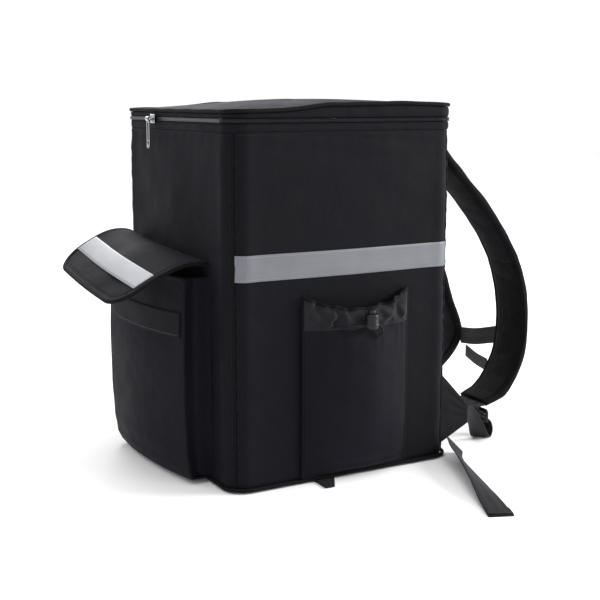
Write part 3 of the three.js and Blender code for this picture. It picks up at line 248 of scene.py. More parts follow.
def cloth_shell(middle, thickness, rim=0.5):
    """A closed cloth round a middle surface: both faces stand half a thickness off it, and every edge is
    rounded by a rim that stands out by rim times the thickness."""
    half = np.broadcast_to(np.asarray(thickness, float) / 2, middle.shape[:2])
    normal = facing(middle) * half[..., None]
    thick = np.max(thickness)
    front, back = middle + normal, middle - normal
    start = middle[:, :1] + unit(middle[:, :1] - middle[:, 1:2]) * thick * rim
    end = middle[:, -1:] + unit(middle[:, -1:] - middle[:, -2:-1]) * thick * rim
    loop = np.concatenate([
        front, end + normal[:, -1:] * 0.4, end - normal[:, -1:] * 0.4,
        back[:, ::-1], start - normal[:, :1] * 0.4, start + normal[:, :1] * 0.4,
    ], axis=1)
    near, far = middle[:, :1], middle[:, -1:]
    flat = np.concatenate([middle, far, far, middle[:, ::-1], near, near], axis=1)
    first = flat[0] + (unit(flat[0] - flat[1]) * thick * rim)
    last = flat[-1] + (unit(flat[-1] - flat[-2]) * thick * rim)
    return shell(np.concatenate([first[None], loop, last[None]]), wrap_v=True)


def swept_shell(path, across, section, closed=False, square=True):
    """A section carried along a path: each of its points is that far across and that far up from the path.
    section is (points, 2), or (path, points, 2) where it changes on the way. Open ends close to a point."""
    if closed:
        along = unit(np.roll(path, -1, axis=0) - np.roll(path, 1, axis=0))
    else:
        along = unit(np.gradient(path, axis=0))
    across = np.broadcast_to(across, path.shape)
    if square:
        across = across - along * np.sum(across * along, axis=1, keepdims=True)
    across = unit(across)
    up = unit(np.cross(along, across))
    section = np.broadcast_to(section, (len(path),) + np.shape(section)[-2:])
    rings = path[:, None] + across[:, None] * section[..., :1] + up[:, None] * section[..., 1:]
    if not closed:
        rings = np.concatenate([np.repeat(rings[:1].mean(1, keepdims=True), rings.shape[1], 1), rings,
                                np.repeat(rings[-1:].mean(1, keepdims=True), rings.shape[1], 1)])
    return shell(rings, wrap_u=closed, wrap_v=True)


def round_section(radius, sides=10):
    """A circle."""
    angle = np.arange(sides) * 2 * math.pi / sides
    return np.stack([np.cos(angle), np.sin(angle)], axis=-1) * radius


def flat_section(width, thick, power=6.0, sides=28, dip=0.0):
    """A rounded bar: a superellipse of width and thickness, whose broad faces dip near its edges."""
    angle = (np.arange(sides) + 0.5) * 2 * math.pi / sides
    x = np.sign(np.cos(angle)) * np.abs(np.cos(angle)) ** (2 / power)
    y = np.sign(np.sin(angle)) * np.abs(np.sin(angle)) ** (2 / power)
    dipped = 1 - dip * np.exp(-(((np.abs(x) - 0.84) / 0.07) ** 2))
    return np.stack([x * width / 2, y * thick / 2 * dipped], axis=-1)


def turned_shell(profile, centre, sides=40):
    """A profile of radius and height turned about an upright axis."""
    angle = np.arange(sides) * 2 * math.pi / sides
    radius, height = np.asarray(profile, float).T
    points = np.stack([
        centre[0] + radius[:, None] * np.cos(angle), centre[1] + radius[:, None] * np.sin(angle),
        np.broadcast_to(centre[2] + height[:, None], (len(radius), sides)),
    ], axis=-1)
    return shell(points[:, ::-1], wrap_v=True)


def stitch_shell(path, normal, pitch=4.2, size=(2.7, 0.75, 0.7)):
    """A row of stitches: small six-pointed grains set every pitch along a path, half sunk in the cloth."""
    count = max(2, int(lengths(path)[-1] / pitch))
    places = (np.arange(count) + 0.5) / count
    centre = even_path(path, places)
    along = unit(even_path(path, places + 0.2 / count) - even_path(path, places - 0.2 / count))
    outward = unit(even_path(np.broadcast_to(normal, path.shape), places))
    side = unit(np.cross(outward, along))
    grain = np.stack([-np.eye(3), np.eye(3)], axis=1).reshape(6, 3) * np.array(size) / 2
    axes = np.stack([along, side, outward], axis=1)
    points = centre[:, None] + np.einsum("gk,nkd->ngd", grain, axes)
    caps = np.array([[1, 3, 5], [3, 0, 5], [0, 2, 5], [2, 1, 5], [3, 1, 4], [0, 3, 4], [2, 0, 4], [1, 2, 4]])
    faces = (caps[None] + 6 * np.arange(count)[:, None, None]).reshape(-1, 3)
    return points.reshape(-1, 3), faces, np.zeros((len(faces), 3, 2))


def box_shell(centres, axes, size):
    """Bevelled blocks, one at each centre, turned to its three axes."""
    x, y, z = np.meshgrid([-0.5, 0.5], [-0.5, 0.5], [-0.5, 0.5], indexing="ij")
    corners = np.stack([x, y, z], axis=-1).reshape(-1, 3) * np.asarray(size)
    points = centres[:, None] + np.einsum("gk,nkd->ngd", corners, axes)
    sides = np.array([[0, 1, 3, 2], [4, 6, 7, 5], [0, 4, 5, 1], [2, 3, 7, 6], [0, 2, 6, 4], [1, 5, 7, 3]])
    faces = (sides[None] + 8 * np.arange(len(centres))[:, None, None]).reshape(-1, 4)
    return points.reshape(-1, 3), faces, np.zeros((len(faces), 4, 2))


def mirrored(shells):
    """The same shells on the other side of the bag, with their faces turned round again."""
    flip = np.array([-1.0, 1, 1])
    return [(points * flip, faces[:, ::-1], cloth[:, ::-1]) for points, faces, cloth in shells]


def make_piece(name, shells, material, nodes=(), body="bag", smooth=True, weld=True):
    """One object from several shells: points that meet are welded and closed shells are faced outwards."""
    for index, (points, faces, cloth) in enumerate(shells):
        ring = points[faces]
        volume = np.einsum("nd,nd->", ring[:, 0], np.cross(ring[:, 1], ring[:, 2]))
        if faces.shape[1] == 4:
            volume += np.einsum("nd,nd->", ring[:, 0], np.cross(ring[:, 2], ring[:, 3]))
        if volume < 0:
            shells[index] = (points, faces[:, ::-1], cloth[:, ::-1])
    starts = np.cumsum([0] + [len(s[0]) for s in shells])
    points = np.concatenate([s[0] for s in shells]) * MM
    loops = np.concatenate([(s[1] + start).ravel() for s, start in zip(shells, starts)])
    cloth = np.concatenate([s[2].reshape(-1, 2) for s in shells]) * MM
    sizes = np.concatenate([np.full(len(s[1]), s[1].shape[1]) for s in shells])
    mesh = bpy.data.meshes.new(name)
    mesh.vertices.add(len(points))
    mesh.vertices.foreach_set("co", points.ravel())
    mesh.loops.add(len(loops))
    mesh.loops.foreach_set("vertex_index", loops)
    mesh.polygons.add(len(sizes))
    mesh.polygons.foreach_set("loop_start", np.concatenate([[0], np.cumsum(sizes)[:-1]]))
    mesh.polygons.foreach_set("loop_total", sizes)
    layer = mesh.uv_layers.new(name="cloth")
    layer.data.foreach_set("uv", cloth.ravel())
    mesh.update(calc_edges=True)
    mesh.validate()
    mesh.polygons.foreach_set("use_smooth", np.full(len(mesh.polygons), smooth))
    if weld:
        work = bmesh.new()
        work.from_mesh(mesh)
        bmesh.ops.remove_doubles(work, verts=work.verts, dist=2e-6)
        work.to_mesh(mesh)
        work.free()
    mesh.materials.append(material)
    piece = bpy.data.objects.new(name, mesh)
    bpy.context.scene.collection.objects.link(piece)
    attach(piece, body)
    if nodes:
        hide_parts(*nodes)
    return piece


# Materials

def linear(colour):
    """An sRGB hex colour such as 0x1a1a1f as linear red, green and blue."""
    parts = np.array([(colour >> shift) & 255 for shift in (16, 8, 0)]) / 255
    return tuple(np.where(parts <= 0.04045, parts / 12.92, ((parts + 0.055) / 1.055) ** 2.4))


def add_node(tree, kind, inputs=None, **settings):
    """Adds a node, sets its properties, and sets or links its inputs by name or number."""
    made = tree.nodes.new(kind)
    for name, value in settings.items():
        setattr(made, name, value)
    for name, value in (inputs or {}).items():
        if isinstance(value, bpy.types.NodeSocket):
            tree.links.new(value, made.inputs[name])
        else:
            made.inputs[name].default_value = value
    return made


def ramp(tree, factor, colour, *stops):
    """A colour ramp whose stops are (place, gain): the colour times its gain."""
    made = add_node(tree, "ShaderNodeValToRGB", {"Fac": factor})
    while len(made.color_ramp.elements) < len(stops):
        made.color_ramp.elements.new(0.5)
    for element, (place, gain) in zip(made.color_ramp.elements, stops):
        element.position = place
        element.color = (*(min(1.0, part * gain) for part in colour), 1)
    return made.outputs["Color"]


def new_material(name):
    """An empty material with its output and the shader that feeds it."""
    material = bpy.data.materials.new(name)
    material.use_nodes = True
    tree = material.node_tree
    tree.nodes.clear()
    shader = add_node(tree, "ShaderNodeBsdfPrincipled")
    add_node(tree, "ShaderNodeOutputMaterial", {"Surface": shader.outputs["BSDF"]})
    return material, tree, shader


def finish_shader(tree, shader, values, **links):
    """Sets the shader's fixed values and links its patterned ones."""
    for name, value in values.items():
        shader.inputs[name].default_value = value
    for name, socket in links.items():
        tree.links.new(socket, shader.inputs[name.replace("_", " ")])


def places(tree):
    """Where a point lies on the cloth, in metres along its weave, and on the object."""
    made = add_node(tree, "ShaderNodeTexCoord")
    return made.outputs["UV"], made.outputs["Object"]


def noise(tree, place, scale, detail=2.0, roughness=0.5):
    """Strength of a noise texture."""
    inputs = {"Vector": place, "Scale": scale, "Detail": detail, "Roughness": roughness}
    return add_node(tree, "ShaderNodeTexNoise", inputs).outputs["Fac"]


def bands(tree, place, spacing, distortion, detail=2.0, way="X"):
    """Strength of bands that repeat every spacing metres; the node's own bands repeat every 2 pi / 20."""
    scale = 2 * math.pi / 20 / spacing
    inputs = {"Vector": place, "Scale": scale, "Distortion": distortion, "Detail": detail}
    return add_node(tree, "ShaderNodeTexWave", inputs, bands_direction=way).outputs["Fac"]


def stretched(tree, place, scale):
    """A place stretched by a scale along each axis."""
    return add_node(tree, "ShaderNodeMapping", {"Vector": place, "Scale": scale}).outputs["Vector"]


def worked(tree, operation, *terms):
    """The outcome of a sum with values or sockets as its terms."""
    return add_node(tree, "ShaderNodeMath", dict(enumerate(terms)), operation=operation).outputs["Value"]


def spread(tree, factor, low, high, start=0.0, end=1.0):
    """A value that goes from low to high while the factor goes from start to end."""
    inputs = {"Value": factor, "From Min": start, "From Max": end, "To Min": low, "To Max": high}
    return add_node(tree, "ShaderNodeMapRange", inputs).outputs["Result"]


def relief(tree, height, strength, distance, **below):
    """Normals of a surface with a fine relief, over those of a coarser one where it is given."""
    inputs = {"Height": height, "Strength": strength, "Distance": distance, **below}
    return add_node(tree, "ShaderNodeBump", inputs).outputs["Normal"]


def oxford_polyester(name, shade, thread, sheen=0.05, crease=0.3):
    """Solution-dyed polyester oxford, plain woven and coated behind. The eye sees a matt black with a faint
    blue bloom, a fine grid of threads, thicker slubs along both thread directions and dusty, worn high
    places. The real threads are about 0.5 mm apart and are drawn coarser, at thread, so that they show."""
    material, tree, shader = new_material(name)
    cloth, place = places(tree)
    weave = worked(tree, "MULTIPLY", bands(tree, cloth, thread, 0.6, 1.0),
                   bands(tree, cloth, thread, 0.6, 1.0, way="Y"))
    slubs = worked(tree, "ADD", noise(tree, stretched(tree, cloth, (60.0, 900.0, 60.0)), 1.0),
                   noise(tree, stretched(tree, cloth, (900.0, 60.0, 60.0)), 1.0))
    patches = noise(tree, place, 9.0, 5.0, 0.62)
    dust = noise(tree, place, 260.0, 3.0, 0.7)
    slubbed = worked(tree, "MULTIPLY_ADD", slubs, 0.16, worked(tree, "MULTIPLY", patches, 0.62))
    dusted = worked(tree, "MULTIPLY_ADD", dust, 0.18, slubbed)
    folds = relief(tree, noise(tree, place, 34.0, 4.0, 0.55), crease, 0.004)
    threads = relief(tree, weave, 0.35, 0.0003, Normal=folds)
    finish_shader(tree, shader, {"Specular IOR Level": 0.09, "Sheen Weight": sheen, "Sheen Roughness": 0.35,
                                 "Sheen Tint": (*linear(0xb9bcd8), 1)},
                  Base_Color=ramp(tree, dusted, shade, (0.36, 0.7), (0.52, 0.95), (0.72, 1.4)),
                  Roughness=spread(tree, patches, 0.66, 0.86, 0.3, 0.7),
                  Normal=relief(tree, slubs, 0.35, 0.0006, Normal=threads))
    return material


def folded_binding(name, shade, worn=1.8):
    """Grosgrain binding folded over an edge: fine cross ribs of about 1 mm, a little smoother than the
    cloth and rubbed paler where it stands out."""
    material, tree, shader = new_material(name)
    cloth, place = places(tree)
    rubbed = noise(tree, place, 75.0, 4.0, 0.7)
    finish_shader(tree, shader, {"Specular IOR Level": 0.09, "Sheen Weight": 0.02,
                                 "Sheen Tint": (*linear(0xc6c8dc), 1)},
                  Base_Color=ramp(tree, rubbed, shade, (0.35, 0.8), (0.7, worn)),
                  Roughness=spread(tree, rubbed, 0.6, 0.8),
                  Normal=relief(tree, bands(tree, cloth, 0.0012, 0.3), 0.5, 0.0004))
    return material


def polypropylene_webbing(name, shade):
    """Woven polypropylene webbing: slanted ribs 2.5 mm apart that meet in chevrons, each rib painted paler as
    a painted highlight for its waxy gleam, with fluff along the edges."""
    material, tree, shader = new_material(name)
    cloth, place = places(tree)
    apart = add_node(tree, "ShaderNodeSeparateXYZ", {"Vector": cloth})
    folded = worked(tree, "PINGPONG", apart.outputs["Y"], 0.006)
    slant = worked(tree, "ADD", apart.outputs["X"], folded)
    across = add_node(tree, "ShaderNodeCombineXYZ", {"X": slant}).outputs["Vector"]
    ribs = bands(tree, across, 0.0025, 0.4)
    # The base colour is painted paler on each rib, a painted highlight for the waxy gleam, and varies at
    # random with the fluff.
    rib_gleam_and_fluff = worked(tree, "MULTIPLY", ribs, noise(tree, place, 190.0, 4.0, 0.7))
    finish_shader(tree, shader, {"Specular IOR Level": 0.14, "Roughness": 0.6, "Sheen Weight": 0.04,
                                 "Sheen Tint": (*linear(0xd0d2e2), 1)},
                  Base_Color=ramp(tree, rib_gleam_and_fluff, shade, (0.05, 0.3), (0.3, 1.0), (0.75, 2.6)),
                  Normal=relief(tree, ribs, 0.8, 0.0006))
    return material


def retroreflective_tape(name, shade):
    """Glass-bead reflective tape heat-pressed on cloth: an even silvery grey that is neither metal nor
    paint, with a bead grain and faint rubs along it."""
    material, tree, shader = new_material(name)
    cloth, place = places(tree)
    rubs = noise(tree, stretched(tree, cloth, (18.0, 420.0, 1.0)), 1.0, 4.0)
    beads = add_node(tree, "ShaderNodeTexVoronoi", {"Vector": place, "Scale": 900.0}).outputs["Distance"]
    tone = worked(tree, "MULTIPLY_ADD", rubs, 0.45, noise(tree, place, 16.0, 3.0))
    finish_shader(tree, shader, {"Metallic": 0.25, "Specular IOR Level": 0.5},
                  Base_Color=ramp(tree, tone, shade, (0.45, 0.85), (1.0, 1.15)),
                  Roughness=spread(tree, rubs, 0.34, 0.56),
                  Normal=relief(tree, beads, 0.25, 0.0004))
    return material


def bonded_thread(name, shade):
    """Bonded polyester sewing thread: twisted, a little glossier than the cloth that it is sunk in."""
    material, tree, shader = new_material(name)
    twist = noise(tree, places(tree)[1], 420.0)
    finish_shader(tree, shader, {"Roughness": 0.48, "Specular IOR Level": 0.4},
                  Base_Color=ramp(tree, twist, shade, (0.3, 0.7), (0.7, 1.4)))
    return material


def nickel_plate(name, shade):
    """Die-cast zinc with bright nickel plate: cool and mirror-like, roughened by fine wear."""
    material, tree, shader = new_material(name)
    wear = noise(tree, places(tree)[1], 350.0, 5.0, 0.7)
    finish_shader(tree, shader, {"Metallic": 1.0},
                  Base_Color=ramp(tree, wear, shade, (0.3, 0.75), (0.7, 1.15)),
                  Roughness=spread(tree, wear, 0.14, 0.34),
                  Normal=relief(tree, wear, 0.1, 0.0002))
    return material


def moulded_acetal(name, shade):
    """Injection-moulded black acetal: smooth, waxy and uneven, with a spark-eroded grain and scuffs."""
    material, tree, shader = new_material(name)
    place = places(tree)[1]
    scuffs = noise(tree, place, 120.0, 6.0, 0.72)
    finish_shader(tree, shader, {"Specular IOR Level": 0.28},
                  Base_Color=ramp(tree, scuffs, shade, (0.45, 0.8), (0.72, 1.8)),
                  Roughness=spread(tree, scuffs, 0.28, 0.52),
                  Normal=relief(tree, noise(tree, place, 1400.0), 0.2, 0.0002))
    return material


def seamless_paper(name, shade):
    """Seamless studio paper: pale, matt and even, with a breath of tone so that it isn't one flat value."""
    material, tree, shader = new_material(name)
    tone = noise(tree, places(tree)[1], 1.5)
    finish_shader(tree, shader, {"Roughness": 0.9, "Specular IOR Level": 0.1},
                  Base_Color=ramp(tree, tone, shade, (0.3, 0.98), (0.7, 1.02)))
    return material


FINISHES = {}


def finish(name):
    """A finish by its name, made once from the colours of the sidebar panel."""
    colours = bpy.context.scene.bag_colours
    if name not in FINISHES:
        make, *values = {
            "shell cloth": (oxford_polyester, "oxford_polyester", colours.cloth, 0.0009),
            "pocket cloth": (oxford_polyester, "oxford_polyester_thin", colours.pocket, 0.0008, 0.05, 0.4),
            # The pocket cloth painted paler: a painted highlight on the gathers.
            "gathered cloth painted lit": (
                oxford_polyester, "oxford_polyester_gathered", colours.gathers, 0.0008, 0.15, 0.6,
            ),
            # The box's oxford painted darker: painted shade on the flap's upward face.
            "flap cloth painted shaded": (oxford_polyester, "oxford_polyester_flap", colours.flap, 0.0009, 0.06),
            "strap cloth": (oxford_polyester, "oxford_polyester_strap", colours.strap, 0.001, 0.04, 0.7),
            "binding": (folded_binding, "folded_binding", colours.binding),
            "facing": (folded_binding, "grosgrain_facing", colours.pocket, 1.2),
            "cord": (folded_binding, "braided_cord", colours.webbing, 2.0),
            "webbing": (polypropylene_webbing, "polypropylene_webbing", colours.webbing),
            "silver tape": (retroreflective_tape, "retroreflective_tape", colours.silver),
            # The sides' tape painted paler for the flap: a painted highlight.
            "reflective tape painted lit": (retroreflective_tape, "retroreflective_tape_lit", colours.white),
            "pale thread": (bonded_thread, "bonded_thread_pale", colours.white),
            "grey thread": (bonded_thread, "bonded_thread_grey", colours.silver),
            "black thread": (bonded_thread, "bonded_thread_black", colours.stitching),
            "nickel": (nickel_plate, "nickel_plate", colours.nickel),
            # One plate for all teeth: the front teeth painted lighter as a painted highlight, the others
            # painted darker as painted shade.
            "dull nickel": (nickel_plate, "dull_nickel_plate", colours.front_teeth_painted_lit),
            "black nickel": (nickel_plate, "black_nickel_plate", colours.teeth),
            "acetal": (moulded_acetal, "moulded_acetal", colours.plastic),
            "paper": (seamless_paper, "seamless_paper", colours.paper),
        }[name]
        FINISHES[name] = make(*values)
    return FINISHES[name]


# Box and lid

ROUND_STOPS = np.cumsum([
    0, SIDE_RUN, QUARTER, 2 * FRONT_RUN, QUARTER, 2 * SIDE_RUN, QUARTER, 2 * FRONT_RUN, QUARTER, SIDE_RUN,
])
ROUND = ROUND_STOPS[-1]
ROUND_X = FRONT_RUN * np.array([1, 1, 1, -1, -1, -1, -1, 1, 1, 1])
ROUND_Y = SIDE_RUN * np.array([0, 1, 1, 1, 1, -1, -1, -1, -1, 0])
ROUND_ANGLE = math.pi / 2 * np.array([0, 0, 1, 1, 2, 2, 3, 3, 4, 4])
SEAMS = ROUND_STOPS[[1, 3, 5, 7]] + QUARTER / 2
SEAM_REACH = SIDE_RUN + QUARTER / 2


def outward(p):
    """Level normal of the box's outline at distance p round it."""
    angle = np.interp(np.mod(p, ROUND), ROUND_STOPS, ROUND_ANGLE)
    return np.stack([np.cos(angle), np.sin(angle), np.zeros_like(angle)], axis=-1)


def swell(z):
    """How far the walls stand out at a height: one less the fourth power of the way from mid-height."""
    return 1 - (2 * np.clip(z / BODY_HEIGHT, 0, 1) - 1) ** 4


def round_box(p, grow, z):
    """Outline of the box at distance p round it from the middle of the right side: a straight run moves the
    centre of a corner's arc and a corner turns its angle. The sides and the front crown by a cosine
    squared, times the swell."""
    p, grow, z = np.broadcast_arrays(np.mod(p, ROUND), grow, np.asarray(z, float))
    centre_x, centre_y = np.interp(p, ROUND_STOPS, ROUND_X), np.interp(p, ROUND_STOPS, ROUND_Y)
    out = outward(p)
    crown = np.cos(np.pi * centre_y / (2 * SIDE_RUN)) ** 2
    crown = crown + np.cos(np.pi * centre_x / (2 * FRONT_RUN)) ** 2 * (out[..., 1] < -0.99)
    reach = CORNER_RADIUS + grow + CROWN * swell(z) * crown
    return np.stack([centre_x + reach * out[..., 0], centre_y + reach * out[..., 1], z], axis=-1)


def seam_gap(p):
    """Distance round the box to the nearest corner seam."""
    p = np.asarray(p, float)
    return np.abs(np.mod(p[..., None] - SEAMS + ROUND / 2, ROUND) - ROUND / 2).min(-1)


def skin(p, z, lift=0.0):
    """Outer face of the box's cloth, moved out by lift. The outline is drawn in at the base and under the
    zip, the padding is drawn down to the corner seams (a bell of the distance), the cloth puckers along
    those seams (a sine that fades with the distance), buckles under the zip, and has soft dents."""
    sizes = bpy.context.scene.bag_sizes
    place, z = np.broadcast_arrays(np.asarray(p, float), np.asarray(z, float))
    gap = seam_gap(place)
    p = ROUND / 4 - np.abs(np.mod(place + ROUND / 4, ROUND) - ROUND / 2)
    base = np.clip(BASE_ROUNDING - z, 0, BASE_ROUNDING)
    grow = -0.75 * (BASE_ROUNDING - np.sqrt(BASE_ROUNDING**2 - base**2))
    grow = grow - TAPE_INSET * np.clip((z - 0.9 * BODY_HEIGHT) / (0.1 * BODY_HEIGHT), 0, 1)
    calm = np.clip(z / 40, 0, 1) * np.clip((BODY_HEIGHT - z) / 30, 0.15, 1)
    grow = grow - 1e3 * sizes.seam_depth * np.exp(-((gap / 7) ** 2)) * np.clip(z / 10, 0, 1)
    grow = grow + 0.9 * np.exp(-(((gap - 17) / 10) ** 2)) * calm
    pucker = np.sin(z / 3.1 + 2.2 * np.sin(z / 31 + p))
    grow = grow + 1e3 * sizes.pucker_depth * np.exp(-gap / 13) * pucker * calm
    under_zip = np.exp(-(BODY_HEIGHT - z) / 24) * (z < BODY_HEIGHT - 3)
    ripple = np.sin(p / 4.6 + 2 * np.sin(p / 47)) + 2.4 * crumple(p * 0.4, z * 2.2, 60, 6)
    grow = grow + 1e3 * sizes.pucker_depth * under_zip * ripple
    flat = 1 - 0.75 * np.exp(-(((z - STRIP_LOW - STRIP_WIDTH / 2) / 22) ** 4))
    dents = 0.5 * (crumple(p, z, 190, 3) - 1) * np.clip(gap / 25, 0, 1) + 0.15 * (crumple(p, z, 62, 8) - 1)
    grow = grow + 1e3 * sizes.dent_depth * dents * calm * flat
    return round_box(place, grow + lift, z)


def panel_places():
    """Distances round the box, standing closer together towards each corner seam."""
    share = crowded(np.linspace(0, 1, 64))[:-1]
    ends = np.append(SEAMS, SEAMS[0] + ROUND)
    return np.concatenate([a + (b - a) * share for a, b in zip(ends[:-1], ends[1:])])


def box_cloth():
    """The hollow box: its underside, outer skin, top edge, inner wall and floor as one grid of rings."""
    p = panel_places()
    low = BASE_ROUNDING * np.array([0, 0.03, 0.1, 0.22, 0.4, 0.62, 0.85])
    high = BODY_HEIGHT - np.array([18, 14, 10, 7, 4.5, 2.5, 1, 0])
    heights = np.concatenate([low, np.linspace(BASE_ROUNDING, BODY_HEIGHT - 22, 84), high])
    rings = [skin(p, 0) * [share, share, 1] for share in (0.0, 0.25, 0.5, 0.75, 0.93)]
    rings += [skin(p, z) for z in heights]
    rings += [round_box(p, -TAPE_INSET - share * BODY_WALL, BODY_HEIGHT + 0.6 * math.sin(math.pi * share))
              for share in (0.2, 0.5, 0.8)]
    rings += [round_box(p, -BODY_WALL - 1.5, z) for z in np.linspace(BODY_HEIGHT, BODY_FLOOR + 14, 14)]
    rings += [round_box(p, -BODY_WALL - 7, BODY_FLOOR) * [share, share, 1] for share in (1.0, 0.6, 0.0)]
    return shell(np.array(rings), wrap_v=True)


def box_seams():
    """Corded corner seams: a thin cord up each corner."""
    z = np.linspace(8, BODY_HEIGHT - 1, 120)
    cord = round_section(1.0)
    return [swept_shell(skin(np.full_like(z, seam), z, 0.5), np.cross(outward(seam), Z_AXIS), cord)
            for seam in SEAMS]


def box_stitches():
    """Stitches beside the corner seams and round the box under the zip."""
    z = np.linspace(12, BODY_HEIGHT - 12, 150)
    rows = [stitch_shell(skin(seam + side * 4.2, z, 0.15), outward(seam + side * 4.2 + 0 * z))
            for seam in SEAMS for side in (-1, 1)]
    p = np.linspace(0, ROUND, 900)
    return rows + [stitch_shell(skin(p, BODY_HEIGHT - 3.2, 0.15), outward(p))]


def lid_edge(y):
    """Height of the lid's edge, which rises from the front to the back."""
    return LID_BAND_LOW + LID_BAND_FRONT + LID_RISE * eased(LID_EDGE, (y + HALF_DEPTH) / (2 * HALF_DEPTH))


def ring_band(low, high, grow, thick, bulge=0.4, ripple=0.0):
    """A band of cloth round the box between two heights: its section is a flat loop whose outer face bulges
    by a sine, with shallow ripples along the band."""
    p = np.linspace(0, ROUND, 720, endpoint=False)
    path = round_box(p, grow, CHAIN_MIDDLE)
    low, high = (np.broadcast_to(value, p.shape) - CHAIN_MIDDLE for value in (low, high(path[:, 1])))
    share = np.array([0, 0.04, 0.14, 0.32, 0.5, 0.68, 0.86, 0.96, 1.0])
    flat = thick / 2 * np.array([0.3, 0.85, 1, 1, 1, 1, 1, 0.85, 0.3])
    outer = flat + bulge * np.sin(np.pi * share)
    waves = ripple * np.sin(p / 7.5 + 2.4 * np.sin(p / 53))[:, None] * np.sin(np.pi * share)
    rise = low[:, None] + (high - low)[:, None] * share
    face = np.stack([rise, outer + waves], axis=-1)
    back = np.stack([rise, np.broadcast_to(-flat, rise.shape)], axis=-1)
    return swept_shell(path, Z_AXIS, np.concatenate([face, back[:, ::-1]], axis=1), closed=True)


def ring_piping(grow, height, radius=PIPING_RADIUS):
    """A corded piping round the box: a circle carried round its outline at a height."""
    p = np.linspace(0, ROUND, 560, endpoint=False)
    path = round_box(p, grow, 0)
    path[:, 2] = height(path[:, 1]) + 0.18 * np.sin(p / 9)
    return swept_shell(path, outward(p), round_section(radius, 12), closed=True)


def lid_cushion():
    """The lid's padded top: rings that shrink to its middle, crowned by one less the share squared, drawn
    down to a sewn line near the piping, with soft dents, and a flat underside LID_WALL below."""
    p = panel_places()
    edge = round_box(p, -LID_PIPING_INSET - PIPING_RADIUS - 0.3, CHAIN_MIDDLE)
    top = LID_BAND_LOW + LID_BAND_FRONT + LID_RISE + LID_DOME
    share = np.concatenate([np.linspace(0, 0.9, 34), [0.925, 0.945, 0.957, 0.966, 0.975, 0.985, 0.994, 1.0]])
    x, y = (share[:, None] * edge[:, k] for k in (0, 1))
    rim = lid_edge(edge[:, 1])
    height = rim + (top - rim) * (1 - share[:, None] ** 2)
    sewn = np.exp(-(((share[:, None] - 0.966) / 0.012) ** 2))
    dents = 1.2 * crumple(x, y, 150, 21) * (1 - share[:, None] ** 6)
    upper = height - 1.1 * sewn + dents - 0.8 * (share[:, None] > 0.999)
    lower = height - LID_WALL
    rings = np.concatenate([np.stack([x, y, upper], axis=-1), np.stack([x, y, lower], axis=-1)[::-1]])
    return shell(rings, wrap_v=True)


def zip_teeth(pitch, front):
    """Zip teeth: two rows of small blocks half a pitch apart, across the front or round the other sides."""
    count = int(ROUND / pitch)
    shells = []
    for row in (0, 1):
        p = (np.arange(count) + 0.5 * row) * ROUND / count
        p = p[((p > ROUND_STOPS[6]) & (p < ROUND_STOPS[7])) == front]
        out = outward(p)
        along = np.cross(Z_AXIS, out)
        axes = np.stack([along, np.broadcast_to(Z_AXIS, out.shape), out], axis=1)
        centres = round_box(p, -0.7, CHAIN_MIDDLE + (0.95 if row else -0.95))
        shells.append(box_shell(centres, axes, (pitch * 0.58, 2.5, 1.7)))
    return shells


def slider_body():
    """Zip slider: a waisted, crowned plate over the teeth, and a bridge bent from round wire."""
    u, v = grid(18, 14)
    waist = 1 - 0.16 * np.cos(np.pi * (v - 0.5)) ** 2
    plate = np.stack([
        SLIDER_X + (u - 0.5) * SLIDER_PLATE[0] * waist, SLIDER_FACE - 2.2 + 0 * u,
        CHAIN_MIDDLE + (v - 0.5) * SLIDER_PLATE[1],
    ], axis=-1)
    thick = 2.6 + 1.0 * np.sin(np.pi * u) * np.sin(np.pi * v)
    root = SLIDER_FACE - 3.0
    half = [(BRIDGE_HALF, root), (BRIDGE_HALF, BRIDGE_Y + BRIDGE_BEND), (BRIDGE_HALF - BRIDGE_BEND, BRIDGE_Y)]
    bridge = [(-x, y) for x, y in half] + [(0, BRIDGE_Y)] + half[::-1]
    wire = smooth_path([(SLIDER_X + x, y, CHAIN_MIDDLE) for x, y in bridge], 40)
    return [cloth_shell(plate, thick, 0.25), swept_shell(wire, Z_AXIS, round_section(1.0, 12))]


def slider_pull():
    """Zip pull: a rolled eye round the bridge, a long loop of flat wire, a cross bar and a round end."""
    turn = np.arange(40) * 2 * math.pi / 40
    centre = np.array([SLIDER_X, BRIDGE_Y, CHAIN_MIDDLE])
    eye = centre + np.stack([0 * turn, 2.3 * np.cos(turn), 2.3 * np.sin(turn)], axis=-1)
    bend = turn[:20] + math.pi / 40
    loop = np.concatenate([
        np.stack([PULL_HALF * np.cos(way), middle + PULL_HALF * np.sin(way)], axis=-1)
        for way, middle in ((bend, PULL_HIGH), (bend + math.pi, PULL_LOW))
    ])
    loop = even_path(np.concatenate([loop, loop[:1]]), np.linspace(0, 1, 90, endpoint=False))
    loop = centre + np.stack([loop[:, 0], 0 * loop[:, 0], loop[:, 1]], axis=-1)
    bar = centre + np.array([[side * PULL_HALF, 0, PULL_BAR] for side in (-1, 0, 1)])
    neck = centre + np.array([[0, 0, -1.9], [0, 0, -3.2], [0, 0, -4.6]])
    return [
        swept_shell(eye, X_AXIS, flat_section(8.2, 1.5), closed=True),
        swept_shell(loop, Y_AXIS, flat_section(1.9, 2.3, 4), closed=True),
        swept_shell(smooth_path(bar, 12), Y_AXIS, flat_section(1.7, 1.7, 4)),
        swept_shell(smooth_path(neck, 8), X_AXIS, flat_section(5.4, 1.8, 5)),
        turned_shell(PULL_KNOB, centre + [0, 0, PULL_END], 24),
    ]


# Front pocket and flap

def front_y(x, z):
    """Y of the box's front, crowned by a cosine squared."""
    return -HALF_DEPTH - CROWN * swell(z) * np.cos(np.pi * x / (2 * FRONT_RUN)) ** 2


def side_x(y, z):
    """X of the box's right side, crowned by a cosine squared."""
    return HALF_WIDTH + CROWN * swell(z) * np.cos(np.pi * y / (2 * SIDE_RUN)) ** 2


